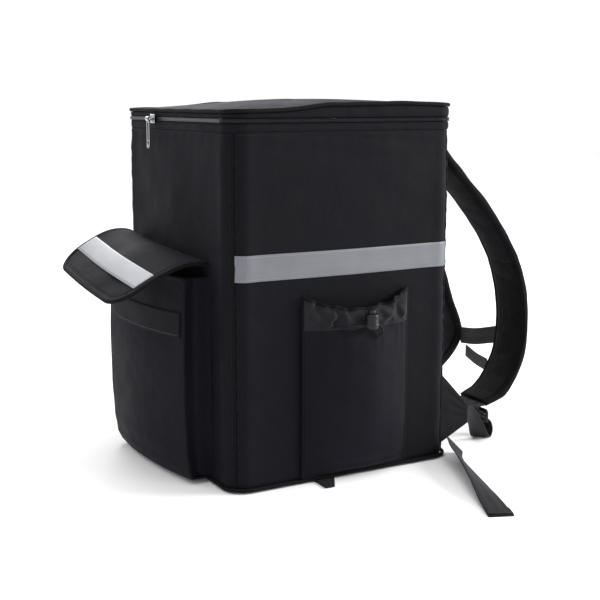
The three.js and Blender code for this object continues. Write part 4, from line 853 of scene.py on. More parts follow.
def pocket_face(x, z):
    """Y of the front pocket's face: the gussets' depth by a table up its height, a crown by a sine to the
    power 0.8 across it, and slack dents that die out at its two upright edges."""
    up = np.clip((z - POCKET_LOW) / (POCKET_TOP - POCKET_LOW), 0, 1)
    share = np.clip((POCKET_RIGHT - x) / (POCKET_RIGHT + POCKET_LEFT), 0, 1)
    gusset = GUSSET_RIGHT + (GUSSET_LEFT - GUSSET_RIGHT) * share
    arch = np.clip(np.sin(np.pi * share), 0, 1)
    slack = (1.0 * crumple(x, z, 150, 5) + 0.3 * crumple(x, z, 50, 9)) * arch**0.6
    return -HALF_DEPTH - eased(POCKET_DEPTHS, up) * (gusset + POCKET_CROWN * arch**0.8) + slack


def softened(points, times):
    """Rounds a grid along its first side: each point moves halfway to the middle of its neighbours."""
    for _ in range(times):
        inner = 0.25 * points[:-2] + 0.5 * points[1:-1] + 0.25 * points[2:]
        points = np.concatenate([points[:1], inner, points[-1:]])
    return points


def pocket_panels():
    """The pocket as one cloth: a floor, then rings that run out along the right gusset, across the front
    and back along the left gusset. Each gusset folds in along a line two thirds of the way out."""
    t = np.linspace(0, 1, 30)[:, None]
    floor = POCKET_LOW + 1.2
    heights = np.concatenate([np.full(5, floor), np.linspace(floor, POCKET_TOP, 76)])[None]
    depth = np.concatenate([[0.0, 0.25, 0.5, 0.75, 0.93], np.ones(76)])[None]
    fold = 6.5 * np.where(t < 0.62, t / 0.62, (1 - t) / 0.38) ** 1.2 + 0.9 * np.sin(3 * np.pi * t)
    x = POCKET_RIGHT - 1.2 - (POCKET_RIGHT + POCKET_LEFT - 2.4) * crowded(np.linspace(0, 1, 110))[:, None]
    front = pocket_face(x, heights) + 1.25
    sides = []
    for edge, sign in ((x[0, 0], 1), (x[-1, 0], -1)):
        reach = (pocket_face(np.array(edge), heights) + 1.25 + HALF_DEPTH) * t
        sides.append((edge - sign * fold * np.ones_like(heights), reach - HALF_DEPTH + 2 * (1 - t)))
    across = np.concatenate([sides[0][0], x * np.ones_like(heights), sides[1][0][::-1]])
    away = np.concatenate([sides[0][1], front, sides[1][1][::-1]])
    away = -HALF_DEPTH + (away + HALF_DEPTH) * depth
    points = np.stack([across, away, np.broadcast_to(heights, across.shape)], axis=-1)
    return softened(points, 4)


def pocket_trim():
    """Bound edges up the pocket's front corners and round its mouth."""
    z = np.linspace(POCKET_LOW + 4, POCKET_TOP + 1, 70)
    shells = []
    for edge, inset in ((POCKET_RIGHT, -1.6), (-POCKET_LEFT, 1.6)):
        face = pocket_face(np.full_like(z, edge), z)
        path = np.stack([np.full_like(z, edge + inset), face + 0.8, z], axis=-1)
        shells.append(swept_shell(path, X_AXIS, round_section(1.5)))
    x = np.linspace(POCKET_RIGHT - 3, -POCKET_LEFT + 3, 120)
    face = pocket_face(x, POCKET_TOP + 0 * x)
    mouth = np.stack([x, face + 1.2, np.full_like(x, POCKET_TOP + 0.4)], axis=-1)
    return shells + [swept_shell(mouth, Y_AXIS, flat_section(4.2, 5.0, 3))]


def facing_place(u, v):
    """X and Z on the facing across the pocket's front, whose lower edge curves up by a square at its left."""
    x = POCKET_RIGHT - 6 - (POCKET_RIGHT + POCKET_LEFT - 12) * u
    return x, CLOSURE_LOW + v * CLOSURE_WIDTH + 26 * (1 - v) * np.clip((u - 0.76) / 0.24, 0, 1) ** 2


def pocket_facing():
    """The sewn-on facing across the pocket's front: a band that follows the face."""
    x, z = facing_place(*grid(110, 9))
    return cloth_shell(np.stack([x, pocket_face(x, z) - 0.9, z], axis=-1), 1.4)


def pocket_rows(shares):
    """Stitches along the facing at shares of its width."""
    rows = []
    for share in shares:
        x, z = facing_place(np.linspace(0.01, 0.985, 200), share)
        rows.append(stitch_shell(np.stack([x, pocket_face(x, z) - 1.7, z], axis=-1), -Y_AXIS, 3.6))
    return rows


FLAP_SHARES = np.linspace(0, 1, 400)
FLAP_ENDS = [
    smooth_path([(0, -FLAP_REACH * out, FLAP_REACH * up) for out, up in zip(outs, ups)], 400)
    for outs, ups in ((FLAP_OUT_RIGHT, FLAP_UP_RIGHT), (FLAP_OUT_LEFT, FLAP_UP_LEFT))
]
FLAP_LENGTH = lengths(FLAP_ENDS[0])[-1]
FLAP_ENDS = [even_path(curve, FLAP_SHARES) for curve in FLAP_ENDS]


def flap_point(across, along, lift=0.0):
    """A point of the flap: the curves of its two ends, blended across it and begun on the box's front, then
    raised by lift along the cross product of its two slopes."""
    across, along = np.broadcast_arrays(np.asarray(across, float), np.asarray(along, float))
    share = np.clip(0.5 - across / (2 * FLAP_HALF), 0, 1)[..., None]
    reach = along / FLAP_LENGTH
    right, left = (np.stack([np.interp(reach, FLAP_SHARES, curve[:, k]) for k in range(3)], axis=-1)
                   for curve in FLAP_ENDS)
    point = right + (left - right) * share
    x = FLAP_MIDDLE + across
    start = front_y(x, FLAP_HINGE) - SEAT_GAP - FLAP_STAND_OFF
    point = point + np.stack([x, start, np.full_like(x, FLAP_HINGE)], axis=-1)
    if np.all(lift == 0):
        return point
    along_way = flap_point(across, along + 1) - flap_point(across, along - 1)
    across_way = flap_point(across + 1, along) - flap_point(across - 1, along)
    return point + unit(np.cross(along_way, across_way)) * np.asarray(lift)[..., None]


def flap_reach(across, inset):
    """How far the flap reaches at a place across it: straight, with a quarter circle at each free corner."""
    radius = FLAP_CORNER - inset
    over = np.clip(np.abs(across) - (FLAP_HALF - inset - radius), 0, None)
    return FLAP_LENGTH - inset - radius + np.sqrt(np.clip(radius**2 - over**2, 0, None))


def flap_panel():
    """The flap's padded cloth: soft dents, and a sewn groove a little inside its binding."""
    u, v = grid(90, 60)
    inset = 1.4
    across = (crowded(u) - 0.5) * 2 * (FLAP_HALF - inset)
    reach = flap_reach(across, inset)
    along = v * reach
    edge = np.minimum(np.minimum(FLAP_HALF - np.abs(across), reach - along + 2), 30)
    dents = 0.9 * crumple(across, along, 110, 31) * np.clip(along / 20, 0, 1)
    thick = FLAP_THICK + 0.5 - 1.3 * np.exp(-(((edge - 6.5) / 1.5) ** 2))
    return cloth_shell(flap_point(across, along, dents), thick, 0.2)


def flap_edge(inset, count=260):
    """Places round the flap's free edges, from one end of its hinge to the other, set in by inset."""
    turn = np.linspace(0, math.pi / 2, 24)
    radius, straight, half = FLAP_CORNER - inset, FLAP_LENGTH - FLAP_CORNER, FLAP_HALF - FLAP_CORNER
    side = np.stack([np.full(30, FLAP_HALF - inset), np.linspace(3, straight, 30)], axis=-1)
    corner = np.stack([half + radius * np.cos(turn), straight + radius * np.sin(turn)], axis=-1)
    right = np.concatenate([side, corner[1:]])
    whole = np.concatenate([right, (right * [-1, 1])[::-1]])
    return even_path(whole, np.linspace(0, 1, count)).T


def flap_binding():
    """Cloth folded over the flap's edge: a flat oval carried round it."""
    across, along = flap_edge(0.0)
    path = flap_point(across, along)
    inner = flap_point(*flap_edge(5.0))
    return swept_shell(path + unit(inner - path) * 1.5, inner - path, flat_section(7.2, 4.9, 3, 24))


def flap_strip():
    """The flap's reflective strip, painted paler than the side strips as a painted highlight: a band of even
    width raised off the cloth.
    """
    u, v = grid(90, 9)
    across = (2 * u - 1) * (FLAP_HALF - 6.2)
    return cloth_shell(flap_point(across, FLAP_LENGTH * FLAP_STRIP_START + v * FLAP_STRIP_WIDTH, 2.7), 1.0)


def flap_rows():
    """Stitches inside the binding, and along both sides of the strip."""
    across, along = flap_edge(5.6)
    path = flap_point(across, along, 2.0)
    rows = [stitch_shell(path, path - flap_point(across, along))]
    across = np.linspace(-FLAP_HALF + 8, FLAP_HALF - 8, 160)
    for share in (0.07, 0.93):
        along = FLAP_LENGTH * FLAP_STRIP_START + share * FLAP_STRIP_WIDTH + 0 * across
        path = flap_point(across, along, 3.3)
        rows.append(stitch_shell(path, path - flap_point(across, along), 3.4))
    return rows


# Sides

def side_strip(sign):
    """A reflective band across one side, from corner seam to corner seam, lifted off the cloth."""
    u, v = grid(120, 9)
    p = (2 * u - 1) * (SEAM_REACH - 1.6) + (0 if sign > 0 else ROUND / 2)
    return cloth_shell(skin(p, STRIP_LOW + v * STRIP_WIDTH, 0.9), 1.0)


def side_rows(sign):
    """Stitches along both long edges of a reflective band."""
    p = np.linspace(-1, 1, 200) * (SEAM_REACH - 4) + (0 if sign > 0 else ROUND / 2)
    return [stitch_shell(skin(p, STRIP_LOW + share * STRIP_WIDTH + 0 * p, 1.5), outward(p), 3.4)
            for share in (0.07, 0.93)]


def bottle_arch(u):
    """How far the pocket stands out across it: an arch from its front seam to its back seam."""
    return np.clip(1 - (2 * u - 1) ** 2, 0, 1) ** 0.8


def bottle_reach(u):
    """Height of the pocket's cloth, under its scooped mouth."""
    return BOTTLE_TOP - MOUTH_SCOOP * bottle_arch(u) - BOTTLE_LOW


def bottle_point(u, v, lift=0.0, gathers=1.0):
    """A bottle pocket, u from its front seam to its back seam and v up it: a bulge by a table times an
    arch, a scooped mouth, waves at the mouth, bunched gathers over the hem seam that lie flat under the
    cord lock, a groove at that seam and slack folds."""
    y = BOTTLE_CENTRE + (2 * u - 1) * BOTTLE_WIDTH / 2
    arch = bottle_arch(u)
    z = BOTTLE_LOW + v * bottle_reach(u)
    z = z + 2.2 * gathers * arch * np.clip(v, 0, 1) ** 9 * crumple(y, 0 * y, 24, 27)
    wave = 1.6 * np.clip((v - 0.8) / 0.2, 0, 1) * arch * np.cos(2 * np.pi * MOUTH_WAVES * u)
    over_hem = np.clip((z - HEM_SEAM + 8) / 12, 0, 1)
    near_hem = np.exp(-(((z - HEM_SEAM) / 26) ** 2))
    ridges = 1 - 2 * np.abs(crumple(y, z * 0.8, 44, 21))
    pleats = over_hem * (3.4 * ridges + 2.8 * crumple(y * 1.1 + z * 0.3, z * 0.7, 16, 22))
    pleats = pleats + 0.8 * near_hem * crumple(y, z * 0.1, 16, 23)
    folds = 2.2 * crumple(y, z * 0.6, 150, 12) + 0.8 * crumple(y * 1.6 + z * 0.5, z, 70, 14)
    groove = -1.6 * np.exp(-(((z - HEM_SEAM) / 1.8) ** 2))
    bulge = BOTTLE_BULGE * arch * eased(BOTTLE_BULGES, v)
    near_lock = np.exp(-(((y - LOCK_Y) / 23) ** 4) - ((z - LOCK_LOW - 12) / 24) ** 4)
    slack = (pleats + folds + groove) * np.clip(arch * 1.6, 0, 1)
    slack = (slack * (1 - near_lock) - 1.1 * near_lock) * gathers
    return np.stack([side_x(y, z) + SEAT_GAP + 1 + bulge + wave + slack + lift, y, z], axis=-1)


def bottle_cloth():
    """The pocket's cloth on a grid whose columns stand closer together at the seams."""
    u, v = grid(170, 120)
    return bottle_point(crowded(u), v)


def bottle_mouth():
    """The gathered band between the hem seam and the mouth: a second layer on the pocket's cloth."""
    u, v = grid(170, 44)
    u = crowded(0.012 + 0.976 * u)
    low = (HEM_SEAM - 4 - BOTTLE_LOW) / bottle_reach(u)
    return cloth_shell(bottle_point(u, low + (0.995 - low) * v, 1.3), 0.9)


def bottle_trim():
    """A folded edge round the pocket's mouth, and a narrow hem along each side and the bottom."""
    u = crowded(np.linspace(0.01, 0.99, 220))
    mouth = bottle_point(u, np.ones_like(u))
    shells = [swept_shell(mouth, X_AXIS, flat_section(3.0, 4.6, 3, 16))]
    v = np.linspace(0.01, 0.995, 120)
    side_hem, low_hem = flat_section(5.2, 3.2, 3, 14), flat_section(4.2, 3.0, 3, 14)
    for place in (0.004, 0.996):
        shells.append(swept_shell(bottle_point(np.full_like(v, place), v, 0.4), Y_AXIS, side_hem))
    shells.append(swept_shell(bottle_point(u, np.full_like(u, 0.012), 0.2), Z_AXIS, low_hem))
    return shells


def bottle_rows():
    """Stitches along the hem seam in two rows and along the two sides."""
    u = np.linspace(0.03, 0.97, 260)
    rows = []
    for height in (HEM_SEAM - 2.6, HEM_SEAM + 2.6):
        v = (height - BOTTLE_LOW) / bottle_reach(u)
        rows.append(stitch_shell(bottle_point(u, v, 1.9), X_AXIS, 3.4))
    v = np.linspace(0.03, 0.97, 160)
    for place in (0.022, 0.978):
        rows.append(stitch_shell(bottle_point(np.full_like(v, place), v, 1.2), X_AXIS, 3.6))
    return rows


def lying_x(y, z):
    """X of the pocket's outer face at a place on the side, without its gathers."""
    u = np.clip((y - BOTTLE_CENTRE) / BOTTLE_WIDTH + 0.5, 0, 1)
    top = bottle_point(u, 1.0, gathers=0)[..., 2]
    return bottle_point(u, np.clip((z - BOTTLE_LOW) / (top - BOTTLE_LOW), 0, 1), gathers=0)[..., 0] + 1


def node_middle(name):
    """Middle of a node's box."""
    low, high = (np.array(corner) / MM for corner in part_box(name))
    return (low + high) / 2


def cord_path():
    """The drawcord's route past the lock, through the same points as the solid's."""
    along, proud, drop = np.array(CORD_ROUTE).T
    lock_x = node_middle("cord_lock_body_right")[0]
    y, z = LOCK_Y + along * LOCK_HEIGHT, LOCK_LOW + CORD_HEIGHT - drop * LOCK_HEIGHT
    lying = lying_x(y, z) + 0.3 + CORD_RADIUS
    return smooth_path(np.stack([lying + proud * (lock_x - lying), y, z], axis=-1), 90)


def lock_barrel(centre):
    """Cord lock: a turned barrel with a rounded foot, two shallow grip grooves, a bore for its button and an
    eyelet on each side for the cord."""
    shells = [turned_shell(np.array(LOCK_PROFILE) * [LOCK_RADIUS, LOCK_HEIGHT], centre, 48)]
    ring = round_section(EYELET_RADIUS, 28)
    for side in (-1, 1):
        face = np.full(28, side * LOCK_RADIUS * 0.95)
        eyelet = centre + np.stack([ring[:, 0], face, CORD_HEIGHT + ring[:, 1]], axis=-1)
        shells.append(swept_shell(eyelet, Y_AXIS, round_section(EYELET_WIRE, 8), closed=True))
    return shells


def lock_button(centre):
    """Button of a cord lock: a plunger with a domed, slightly dished top."""
    low = LOCK_HEIGHT + BUTTON_PROUD - BUTTON_LENGTH
    return turned_shell(np.array(BUTTON_PROFILE) * [BUTTON_RADIUS, BUTTON_LENGTH], centre + [0, 0, low], 40)


# Harness

def strap_path(rows, side, count=1200):
    """Middle line of a shoulder strap: reach behind the back panel and drop from its top seam, as shares."""
    lying = HALF_DEPTH + SEAT_GAP + STRAP_THICK / 2
    points = [(side * STRAP_CENTRE, lying + out * STRAP_REACH, STRAP_TOP - down * STRAP_DROP)
              for out, down in rows]
    return smooth_path(points, count)


def padded_strap(path):
    """A padded strap: a superellipse with a sewn line near each edge, narrowed over its last stretch, and
    drawn in a little at the cross rows of stitches."""
    share = np.linspace(0, 1, len(path))
    width = STRAP_WIDTH * (1 - 0.12 * np.clip((share - 0.93) / 0.07, 0, 1))
    gaps = (share[:, None] - np.array([0.035, 0.5, 0.74, 0.955])) / 0.008
    quilt = 1 - 0.16 * np.exp(-(gaps**2)).sum(1)
    section = flat_section(1.0, STRAP_THICK, 3.4, 64, 0.42)
    rings = np.stack([section[None, :, 0] * width[:, None], section[None, :, 1] * quilt[:, None]], axis=-1)
    run = np.broadcast_to(lengths(path)[:, None], rings.shape[:2])
    rings[..., 1] += 0.55 * crumple(rings[..., 0], run, 60, 17) * np.sign(rings[..., 1])
    return swept_shell(path, X_AXIS, rings)


def strap_frame(path):
    """Outward normal of a strap along its path."""
    return unit(np.cross(unit(np.gradient(path, axis=0)), X_AXIS))


def strap_rows(path):
    """Stitches along both edges of a strap, on both of its faces, and the short cross rows that tack it."""
    normal = strap_frame(path)
    rows = []
    for face in (-1, 1):
        for side in (-1, 1):
            edge = X_AXIS * side * STRAP_WIDTH * STRAP_STITCH_LINE
            line = path + edge + normal * face * (STRAP_THICK / 2 * 0.62)
            rows.append(stitch_shell(line[8:-70], normal[8:-70] * face, 4.0))
    for place, half in ((0.5, 22), (0.52, 22), (0.74, 14), (0.76, 14)):
        i = int(place * len(path))
        x = np.linspace(-half, half, 40)[:, None] * X_AXIS
        for face in (-1, 1):
            line = path[i] + x + normal[i] * face * STRAP_THICK / 2 * 0.97
            rows.append(stitch_shell(line, normal[i] * face, 2.9))
    return rows


def strap_edge(path, sign, height):
    """Where a strap's inner edge is at a height on its lower half."""
    lower = len(path) // 2
    i = lower + int(np.argmax(path[lower:, 2] <= height))
    x = STRAP_CENTRE - STRAP_WIDTH / 2 - 0.3 - WEBBING_THICK / 3
    return np.array([sign * x, path[i, 1], path[i, 2]])


def between(start, end, share, sag, bow):
    """A point between two others, lowered by sag and drawn towards the box by bow."""
    return start + (end - start) * share - np.array([0, bow, sag])


def webbing_band(path, across, width, thick=WEBBING_THICK, square=True):
    """Flat webbing: a bar with soft edges, whose long edges flutter by a fraction of a millimetre."""
    section = flat_section(1.0, thick, 7, 30)
    run = lengths(path)[:, None]
    wide = np.broadcast_to(np.asarray(width, float), (len(path),))[:, None]
    thin = np.broadcast_to(section[None, :, 1], (len(path), 30))
    rings = np.stack([section[None, :, 0] * wide, thin], axis=-1)
    rings[..., 1] += 0.22 * np.sin(run / 5.3 + 2 * np.sin(run / 19)) * np.abs(section[None, :, 0]) ** 2
    return swept_shell(path, across, rings, square=square)


def chest_webbing():
    """Chest webbing between the straps, and its loose end, each with its length."""
    right, left = strap_path(RIGHT_STRAP, 1), strap_path(LEFT_STRAP, -1)
    start, end = strap_edge(right, 1, CHEST_RIGHT_HEIGHT), strap_edge(left, -1, CHEST_LEFT_HEIGHT)
    strap = smooth_path([start, between(start, end, 0.5, 2, 4), end], 90)
    tail_start = between(start, end, CHEST_END_START, WEBBING / 2 + 11, 4)
    tail_end = strap_edge(right, 1, CHEST_END_HEIGHT)
    tail = smooth_path([tail_start, between(tail_start, tail_end, 0.5, 2, 0), tail_end], 80)
    return ((webbing_band(strap, Z_AXIS, WEBBING, square=False), lengths(strap)[-1]),
            (webbing_band(tail, Z_AXIS, CHEST_END_WIDTH, square=False), lengths(tail)[-1]))


def pad_tab():
    """Folded webbing from the end of a shoulder strap into its ladder lock, narrowing on the way."""
    path = strap_path(RIGHT_STRAP, 1)
    end, way = path[-1], unit(path[-1] - path[-2])
    route = np.array(PAD_TAB_ROUTE) * [PAD_TAB_OUT, -PAD_TAB_FOLD, PAD_TAB_DROP] - [0, 0, PAD_TAB_DROP]
    path = smooth_path([end + way * 0.5, *(end + route)], 60)
    width = PAD_TAB_WIDTH + (WEBBING - PAD_TAB_WIDTH) * np.clip(1.4 * np.linspace(0, 1, 60), 0, 1)
    return webbing_band(path, X_AXIS, width, square=False)


def ladder_frame():
    """Ladder lock: a rounded oblong frame with a middle bar."""
    centre = node_middle("ladder_lock_right")
    turn = np.linspace(0, 2 * math.pi, 400)
    half = np.array([LADDER[0] / 2 - 2.1, LADDER[1] / 2 - 2.1])
    across, up = (np.sign(wave) * np.abs(wave) ** 0.3 for wave in (np.cos(turn), np.sin(turn)))
    loop = np.stack([across * half[0], 0 * turn, up * half[1]], axis=-1)
    loop = even_path(loop, np.linspace(0, 1, 120, endpoint=False))
    bar = np.stack([np.linspace(-half[0], half[0], 24), np.zeros(24), np.zeros(24)], axis=-1)
    return [
        swept_shell(centre + loop, Y_AXIS, flat_section(LADDER[2], 4.1, 4, 20), closed=True),
        swept_shell(centre + bar, Y_AXIS, flat_section(LADDER[2], 4.0, 4, 20)),
    ]


def wing_corners():
    """Start of a wing at the back seam and its apex, in plan."""
    start = np.array([FRONT_RUN, SIDE_RUN]) + (CORNER_RADIUS + 1.9) * math.sqrt(0.5)
    return start, start + np.array([-6.0, WING_REACH])


def slack_webbing():
    """Slack webbing from the lock down to the ground and up to the wing, and its length: shares of the way
    and of the wing's height, with its width turned from level to upright."""
    start = node_middle("ladder_lock_right")[:2]
    way = wing_corners()[1] - start
    turned = np.array([-way[1], way[0]])
    floor = WEBBING_THICK / 2 + 0.6
    over, out, rise = np.array(LOOP_ROUTE).T[..., None]
    level = start + over * way + out * turned
    path = smooth_path(np.concatenate([level, floor + rise * (WING_APEX_HEIGHT - floor)], axis=1), 130)
    t = np.linspace(0, 1, 130)[:, None]
    flat = np.append(turned, 0) / np.linalg.norm(turned)
    side = X_AXIS + (flat - X_AXIS) * np.clip((t - 0.15) / 0.25, 0, 1)
    side = side + (Z_AXIS - side) * np.clip((t - 0.42) / 0.58, 0, 1)
    return webbing_band(path, side, SLACK_WIDTH, square=False), lengths(path)[-1]


def wing_cloth():
    """Wing: a tapering panel from inside the back seam to its apex, thinner at its edges, with pulls
    towards the apex."""
    start, apex = wing_corners()
    u, v = grid(50, 50)
    u = 1.18 * u - 0.18
    low = WING_LOW + (WING_APEX_HEIGHT - WEBBING / 2 - WING_LOW) * u
    high = WING_TOP + (WING_APEX_HEIGHT + WEBBING / 2 - WING_TOP) * u
    pull = 0.5 * np.sin(np.pi * np.clip(u, 0, 1)) * np.sin(9 * np.pi * v)
    x, y = start[0] + (apex[0] - start[0]) * u + pull, start[1] + WING_REACH * u
    points = np.stack([x, y, low + (high - low) * v], axis=-1)
    edge = np.minimum(np.minimum(v, 1 - v) * 12, 1)
    return cloth_shell(points, WING_THICK * (0.62 + 0.38 * edge), 0.3)


def wing_rows():
    """Stitches along the wing's two long edges and across the webbing at its apex."""
    start, apex = wing_corners()
    u = np.linspace(0.04, 0.97, 60)
    x, y = (start[k] + (apex[k] - start[k]) * u for k in (0, 1))
    rows = []
    for first, last in ((WING_LOW + 5, WING_APEX_HEIGHT - 9), (WING_TOP - 5, WING_APEX_HEIGHT + 9)):
        path = np.stack([x, y, first + (last - first) * u], axis=-1)
        rows += [stitch_shell(path + X_AXIS * face * 1.7, X_AXIS * face, 3.6) for face in (-1, 1)]
    return rows


def tail_lines():
    """Middle line of a loose end, the way across it, which leans over until the end lies flat, and its upper
    normal."""
    start, apex = wing_corners()
    out, forward, lean = np.array(TAIL_ROUTE).T
    lean = np.radians(lean)
    x = (start[0] + apex[0]) / 2 - 1 + out * TAIL_OUT
    y = (start[1] + apex[1]) / 2 - forward * TAIL_FORWARD
    z = TAIL_WIDTH / 2 * np.sin(lean) + WEBBING_THICK / 2 + 0.2
    path = smooth_path(np.stack([x, y, z], axis=-1), 220)
    lean = np.interp(np.linspace(0, len(out) - 1, 220), np.arange(len(out)), lean)[:, None]
    away = unit(np.array([TAIL_FORWARD, TAIL_OUT, 0]))
    across = away * np.cos(lean) - Z_AXIS * np.sin(lean)
    normal = unit(np.cross(unit(np.gradient(path, axis=0)), across))
    return path, across, normal * np.sign(normal[:, 2:])


def loose_webbing():
    """A loose end with its tip folded back and sewn, and its length."""
    path, across, normal = tail_lines()
    hem = path[-16:-1] + normal[-16:-1] * 1.7
    bands = [webbing_band(path, across, TAIL_WIDTH), webbing_band(hem, across[-16:-1], TAIL_WIDTH - 0.8, 1.6)]
    return bands, lengths(path)[-1]


def loose_rows():
    """Cross stitches through the folded tip."""
    path, across, normal = tail_lines()
    x = np.linspace(-0.42, 0.42, 40)[:, None] * TAIL_WIDTH
    return [stitch_shell(path[i] + across[i] * x + normal[i] * 2.5, normal[i], 2.6) for i in (-14, -11, -3)]


def tab_cloth():
    """Small cloth tab under the right side, narrowing and swept forward, lying on the ground."""
    u, v = grid(30, 20)
    x = HALF_WIDTH + 1.6 + TAB_REACH * u
    y = TAB_Y + (v - 0.5) * TAB_WIDTH * (1 - 0.55 * u) - 8 * u
    return cloth_shell(np.stack([x, y, 1.05 + 0.25 * np.sin(5 * v + 2 * u) * u], axis=-1), 1.6, 0.3)


# Padding

def inflate(piece, pressure, cap, held=None):
    """Swells a padded piece like filled cloth: a cloth simulation under inner pressure, without gravity,
    for twenty frames. held is how firmly each point is sewn down, from 0 to 1, and no point moves further
    than cap, in metres. The result goes back into the mesh."""
    scene = bpy.context.scene
    count = len(piece.data.vertices)
    start = np.empty(count * 3)
    piece.data.vertices.foreach_get("co", start)
    start = start.reshape(-1, 3)
    modifier = piece.modifiers.new("filling", "CLOTH")
    cloth = modifier.settings
    cloth.quality, cloth.mass = 4, 0.25
    cloth.tension_stiffness = cloth.compression_stiffness = 12
    cloth.shear_stiffness, cloth.bending_stiffness = 4, 0.3
    cloth.use_pressure, cloth.uniform_pressure_force = True, pressure
    cloth.effector_weights.gravity = 0
    modifier.collision_settings.use_collision = False
    if held is not None:
        group = piece.vertex_groups.new(name="sewn")
        for level in (0.5, 1.0):
            chosen = np.flatnonzero(np.abs(held(start / MM) - level) < 0.25)
            group.add(chosen.tolist(), level, "REPLACE")
        cloth.vertex_group_mass = "sewn"
        cloth.pin_stiffness = 1.0
    for step in range(1, 21):
        scene.frame_set(step)
    swollen = piece.evaluated_get(bpy.context.evaluated_depsgraph_get()).to_mesh()
    end = np.empty(count * 3)
    swollen.vertices.foreach_get("co", end)
    piece.evaluated_get(bpy.context.evaluated_depsgraph_get()).to_mesh_clear()
    piece.modifiers.remove(modifier)
    scene.frame_set(1)
    move = np.nan_to_num(end.reshape(-1, 3) - start)
    far = np.linalg.norm(move, axis=1, keepdims=True)
    move = move * np.minimum(1, cap / np.maximum(far, 1e-9))
    piece.data.vertices.foreach_set("co", (start + move).ravel())
    piece.data.update()


# Settings

def length_setting(name, description, default):
    """A length in the sidebar panel, in metres."""
    return bpy.props.FloatProperty(name=name, description=description, default=default, min=0.0,
                                   unit="LENGTH", subtype="DISTANCE", precision=4)


def colour_setting(name, description, colour):
    """A colour in the sidebar panel, given as an sRGB hex colour."""
    return bpy.props.FloatVectorProperty(name=name, description=description, default=linear(colour),
                                         min=0.0, max=1.0, subtype="COLOR")


class BagSizes(bpy.types.PropertyGroup):
    """Depths and spacings of the sewing."""
    seam_depth: length_setting("Seam depth", "How deep the padding is drawn down along the corner seams",
                               0.0019)
    pucker_depth: length_setting("Pucker depth", "Height of the small puckers beside the seams", 0.0005)
    dent_depth: length_setting("Dent depth", "Depth of the soft dents in the padded walls", 0.0024)
    teeth_pitch: length_setting("Teeth pitch", "Distance from one zip tooth to the next", 0.0026)


class BagColours(bpy.types.PropertyGroup):
    """Colours of the cloths and fittings."""
    cloth: colour_setting("Cloth", "Cloth of the box and the lid", 0x0D0D12)
    pocket: colour_setting("Pocket cloth", "Thinner cloth of the pockets", 0x0E0E14)
    # The gathered band is the pockets' own cloth in a paler colour: a painted highlight for the bright
    # wrinkles of the gathers.
    gathers: colour_setting("Gathers", "Gathered band round the mouths of the bottle pockets", 0x1E1E21)
    # The flap is the box's oxford in a darker colour: painted shade on its upward face, which the lights
    # strike hardest.
    flap: colour_setting("Flap cloth", "Cloth of the front flap", 0x0B0C0F)
    strap: colour_setting("Strap cloth", "Cloth of the shoulder straps", 0x0E0E10)
    binding: colour_setting("Binding", "Bindings and pipings", 0x070708)
    webbing: colour_setting("Webbing", "Woven webbing", 0x18181B)
    stitching: colour_setting("Stitching", "Thread that shows on the cloth", 0x0E0E10)
    silver: colour_setting("Silver tape", "Reflective tape on the sides", 0x66686D)
    # The flap's strip is the sides' retroreflective tape in a paler colour: a painted highlight where it
    # faces the light. The same colour is also the pale thread's own.
    white: colour_setting("White tape", "Reflective tape on the flap, with its thread", 0x8A8B91)
    nickel: colour_setting("Nickel", "Plate of the zip's slider and pull", 0xA4A5AA)
    # The zip's teeth are one nickel plate in two colours: those across the front are painted lighter as a
    # painted highlight, all the others painted darker as painted shade.
    front_teeth_painted_lit: colour_setting("Front teeth", "Plate of the zip's teeth across the front", 0x5C5D62)
    teeth: colour_setting("Teeth", "Darker plate of the other teeth", 0x303134)
    plastic: colour_setting("Plastic", "Moulded cord locks and ladder locks", 0x0E0E10)
    paper: colour_setting("Floor", "Paper that the bag stands on", 0xFAFAFB)


def area_light(name, place, size, power):
    """A soft square light at a place, turned to look at the bag."""
    lamp = bpy.data.lights.new(name, "AREA")
    lamp.shape, lamp.size, lamp.energy = "SQUARE", size, power
    light = bpy.data.objects.new(name, lamp)
    bpy.context.scene.collection.objects.link(light)
    light.location = place
    x, y, z = np.array(LIGHT_AIM, float) - np.array(place, float)
    light.rotation_euler = (math.atan2(math.hypot(x, y), -z), 0, math.atan2(y, x) - math.pi / 2)


# Operators

SIDES = (("right", list), ("left", mirrored))


class BAG_OT_stage(bpy.types.Operator):
    """Sets the camera, the paper sweep and the studio lights"""
    bl_idname = "bag.stage"
    bl_label = "Stage"

    def execute(self, context):
        scene = context.scene
        lens = bpy.data.cameras.new("camera")
        lens.lens, lens.sensor_width = CAMERA_LENS, CAMERA_SENSOR
        lens.clip_start, lens.clip_end = 0.05, 40
        camera = bpy.data.objects.new("camera", lens)
        scene.collection.objects.link(camera)
        camera.location = CAMERA_PLACE
        camera.rotation_euler = (math.radians(CAMERA_TILT), 0, math.radians(CAMERA_TURN))
        scene.camera = camera
        u, v = grid(40, 40)
        points, faces, _ = shell(np.stack([(u - 0.5) * PAPER_REACH, (v - 0.5) * PAPER_REACH, 0 * u], axis=-1))
        mesh = bpy.data.meshes.new("paper_floor")
        mesh.from_pydata(points.tolist(), [], faces.tolist())
        mesh.materials.append(finish("paper"))
        paper = bpy.data.objects.new("paper_floor", mesh)
        scene.collection.objects.link(paper)
        world = bpy.data.worlds.new("studio")
        world.use_nodes = True
        sky = world.node_tree.nodes["Background"]
        sky.inputs["Color"].default_value = (*linear(0xFFFFFF), 1)
        sky.inputs["Strength"].default_value = SKY_STRENGTH
        scene.world = world
        scene.view_settings.view_transform = "Standard"
        for light in LIGHTS:
            area_light(*light)
        return {"FINISHED"}


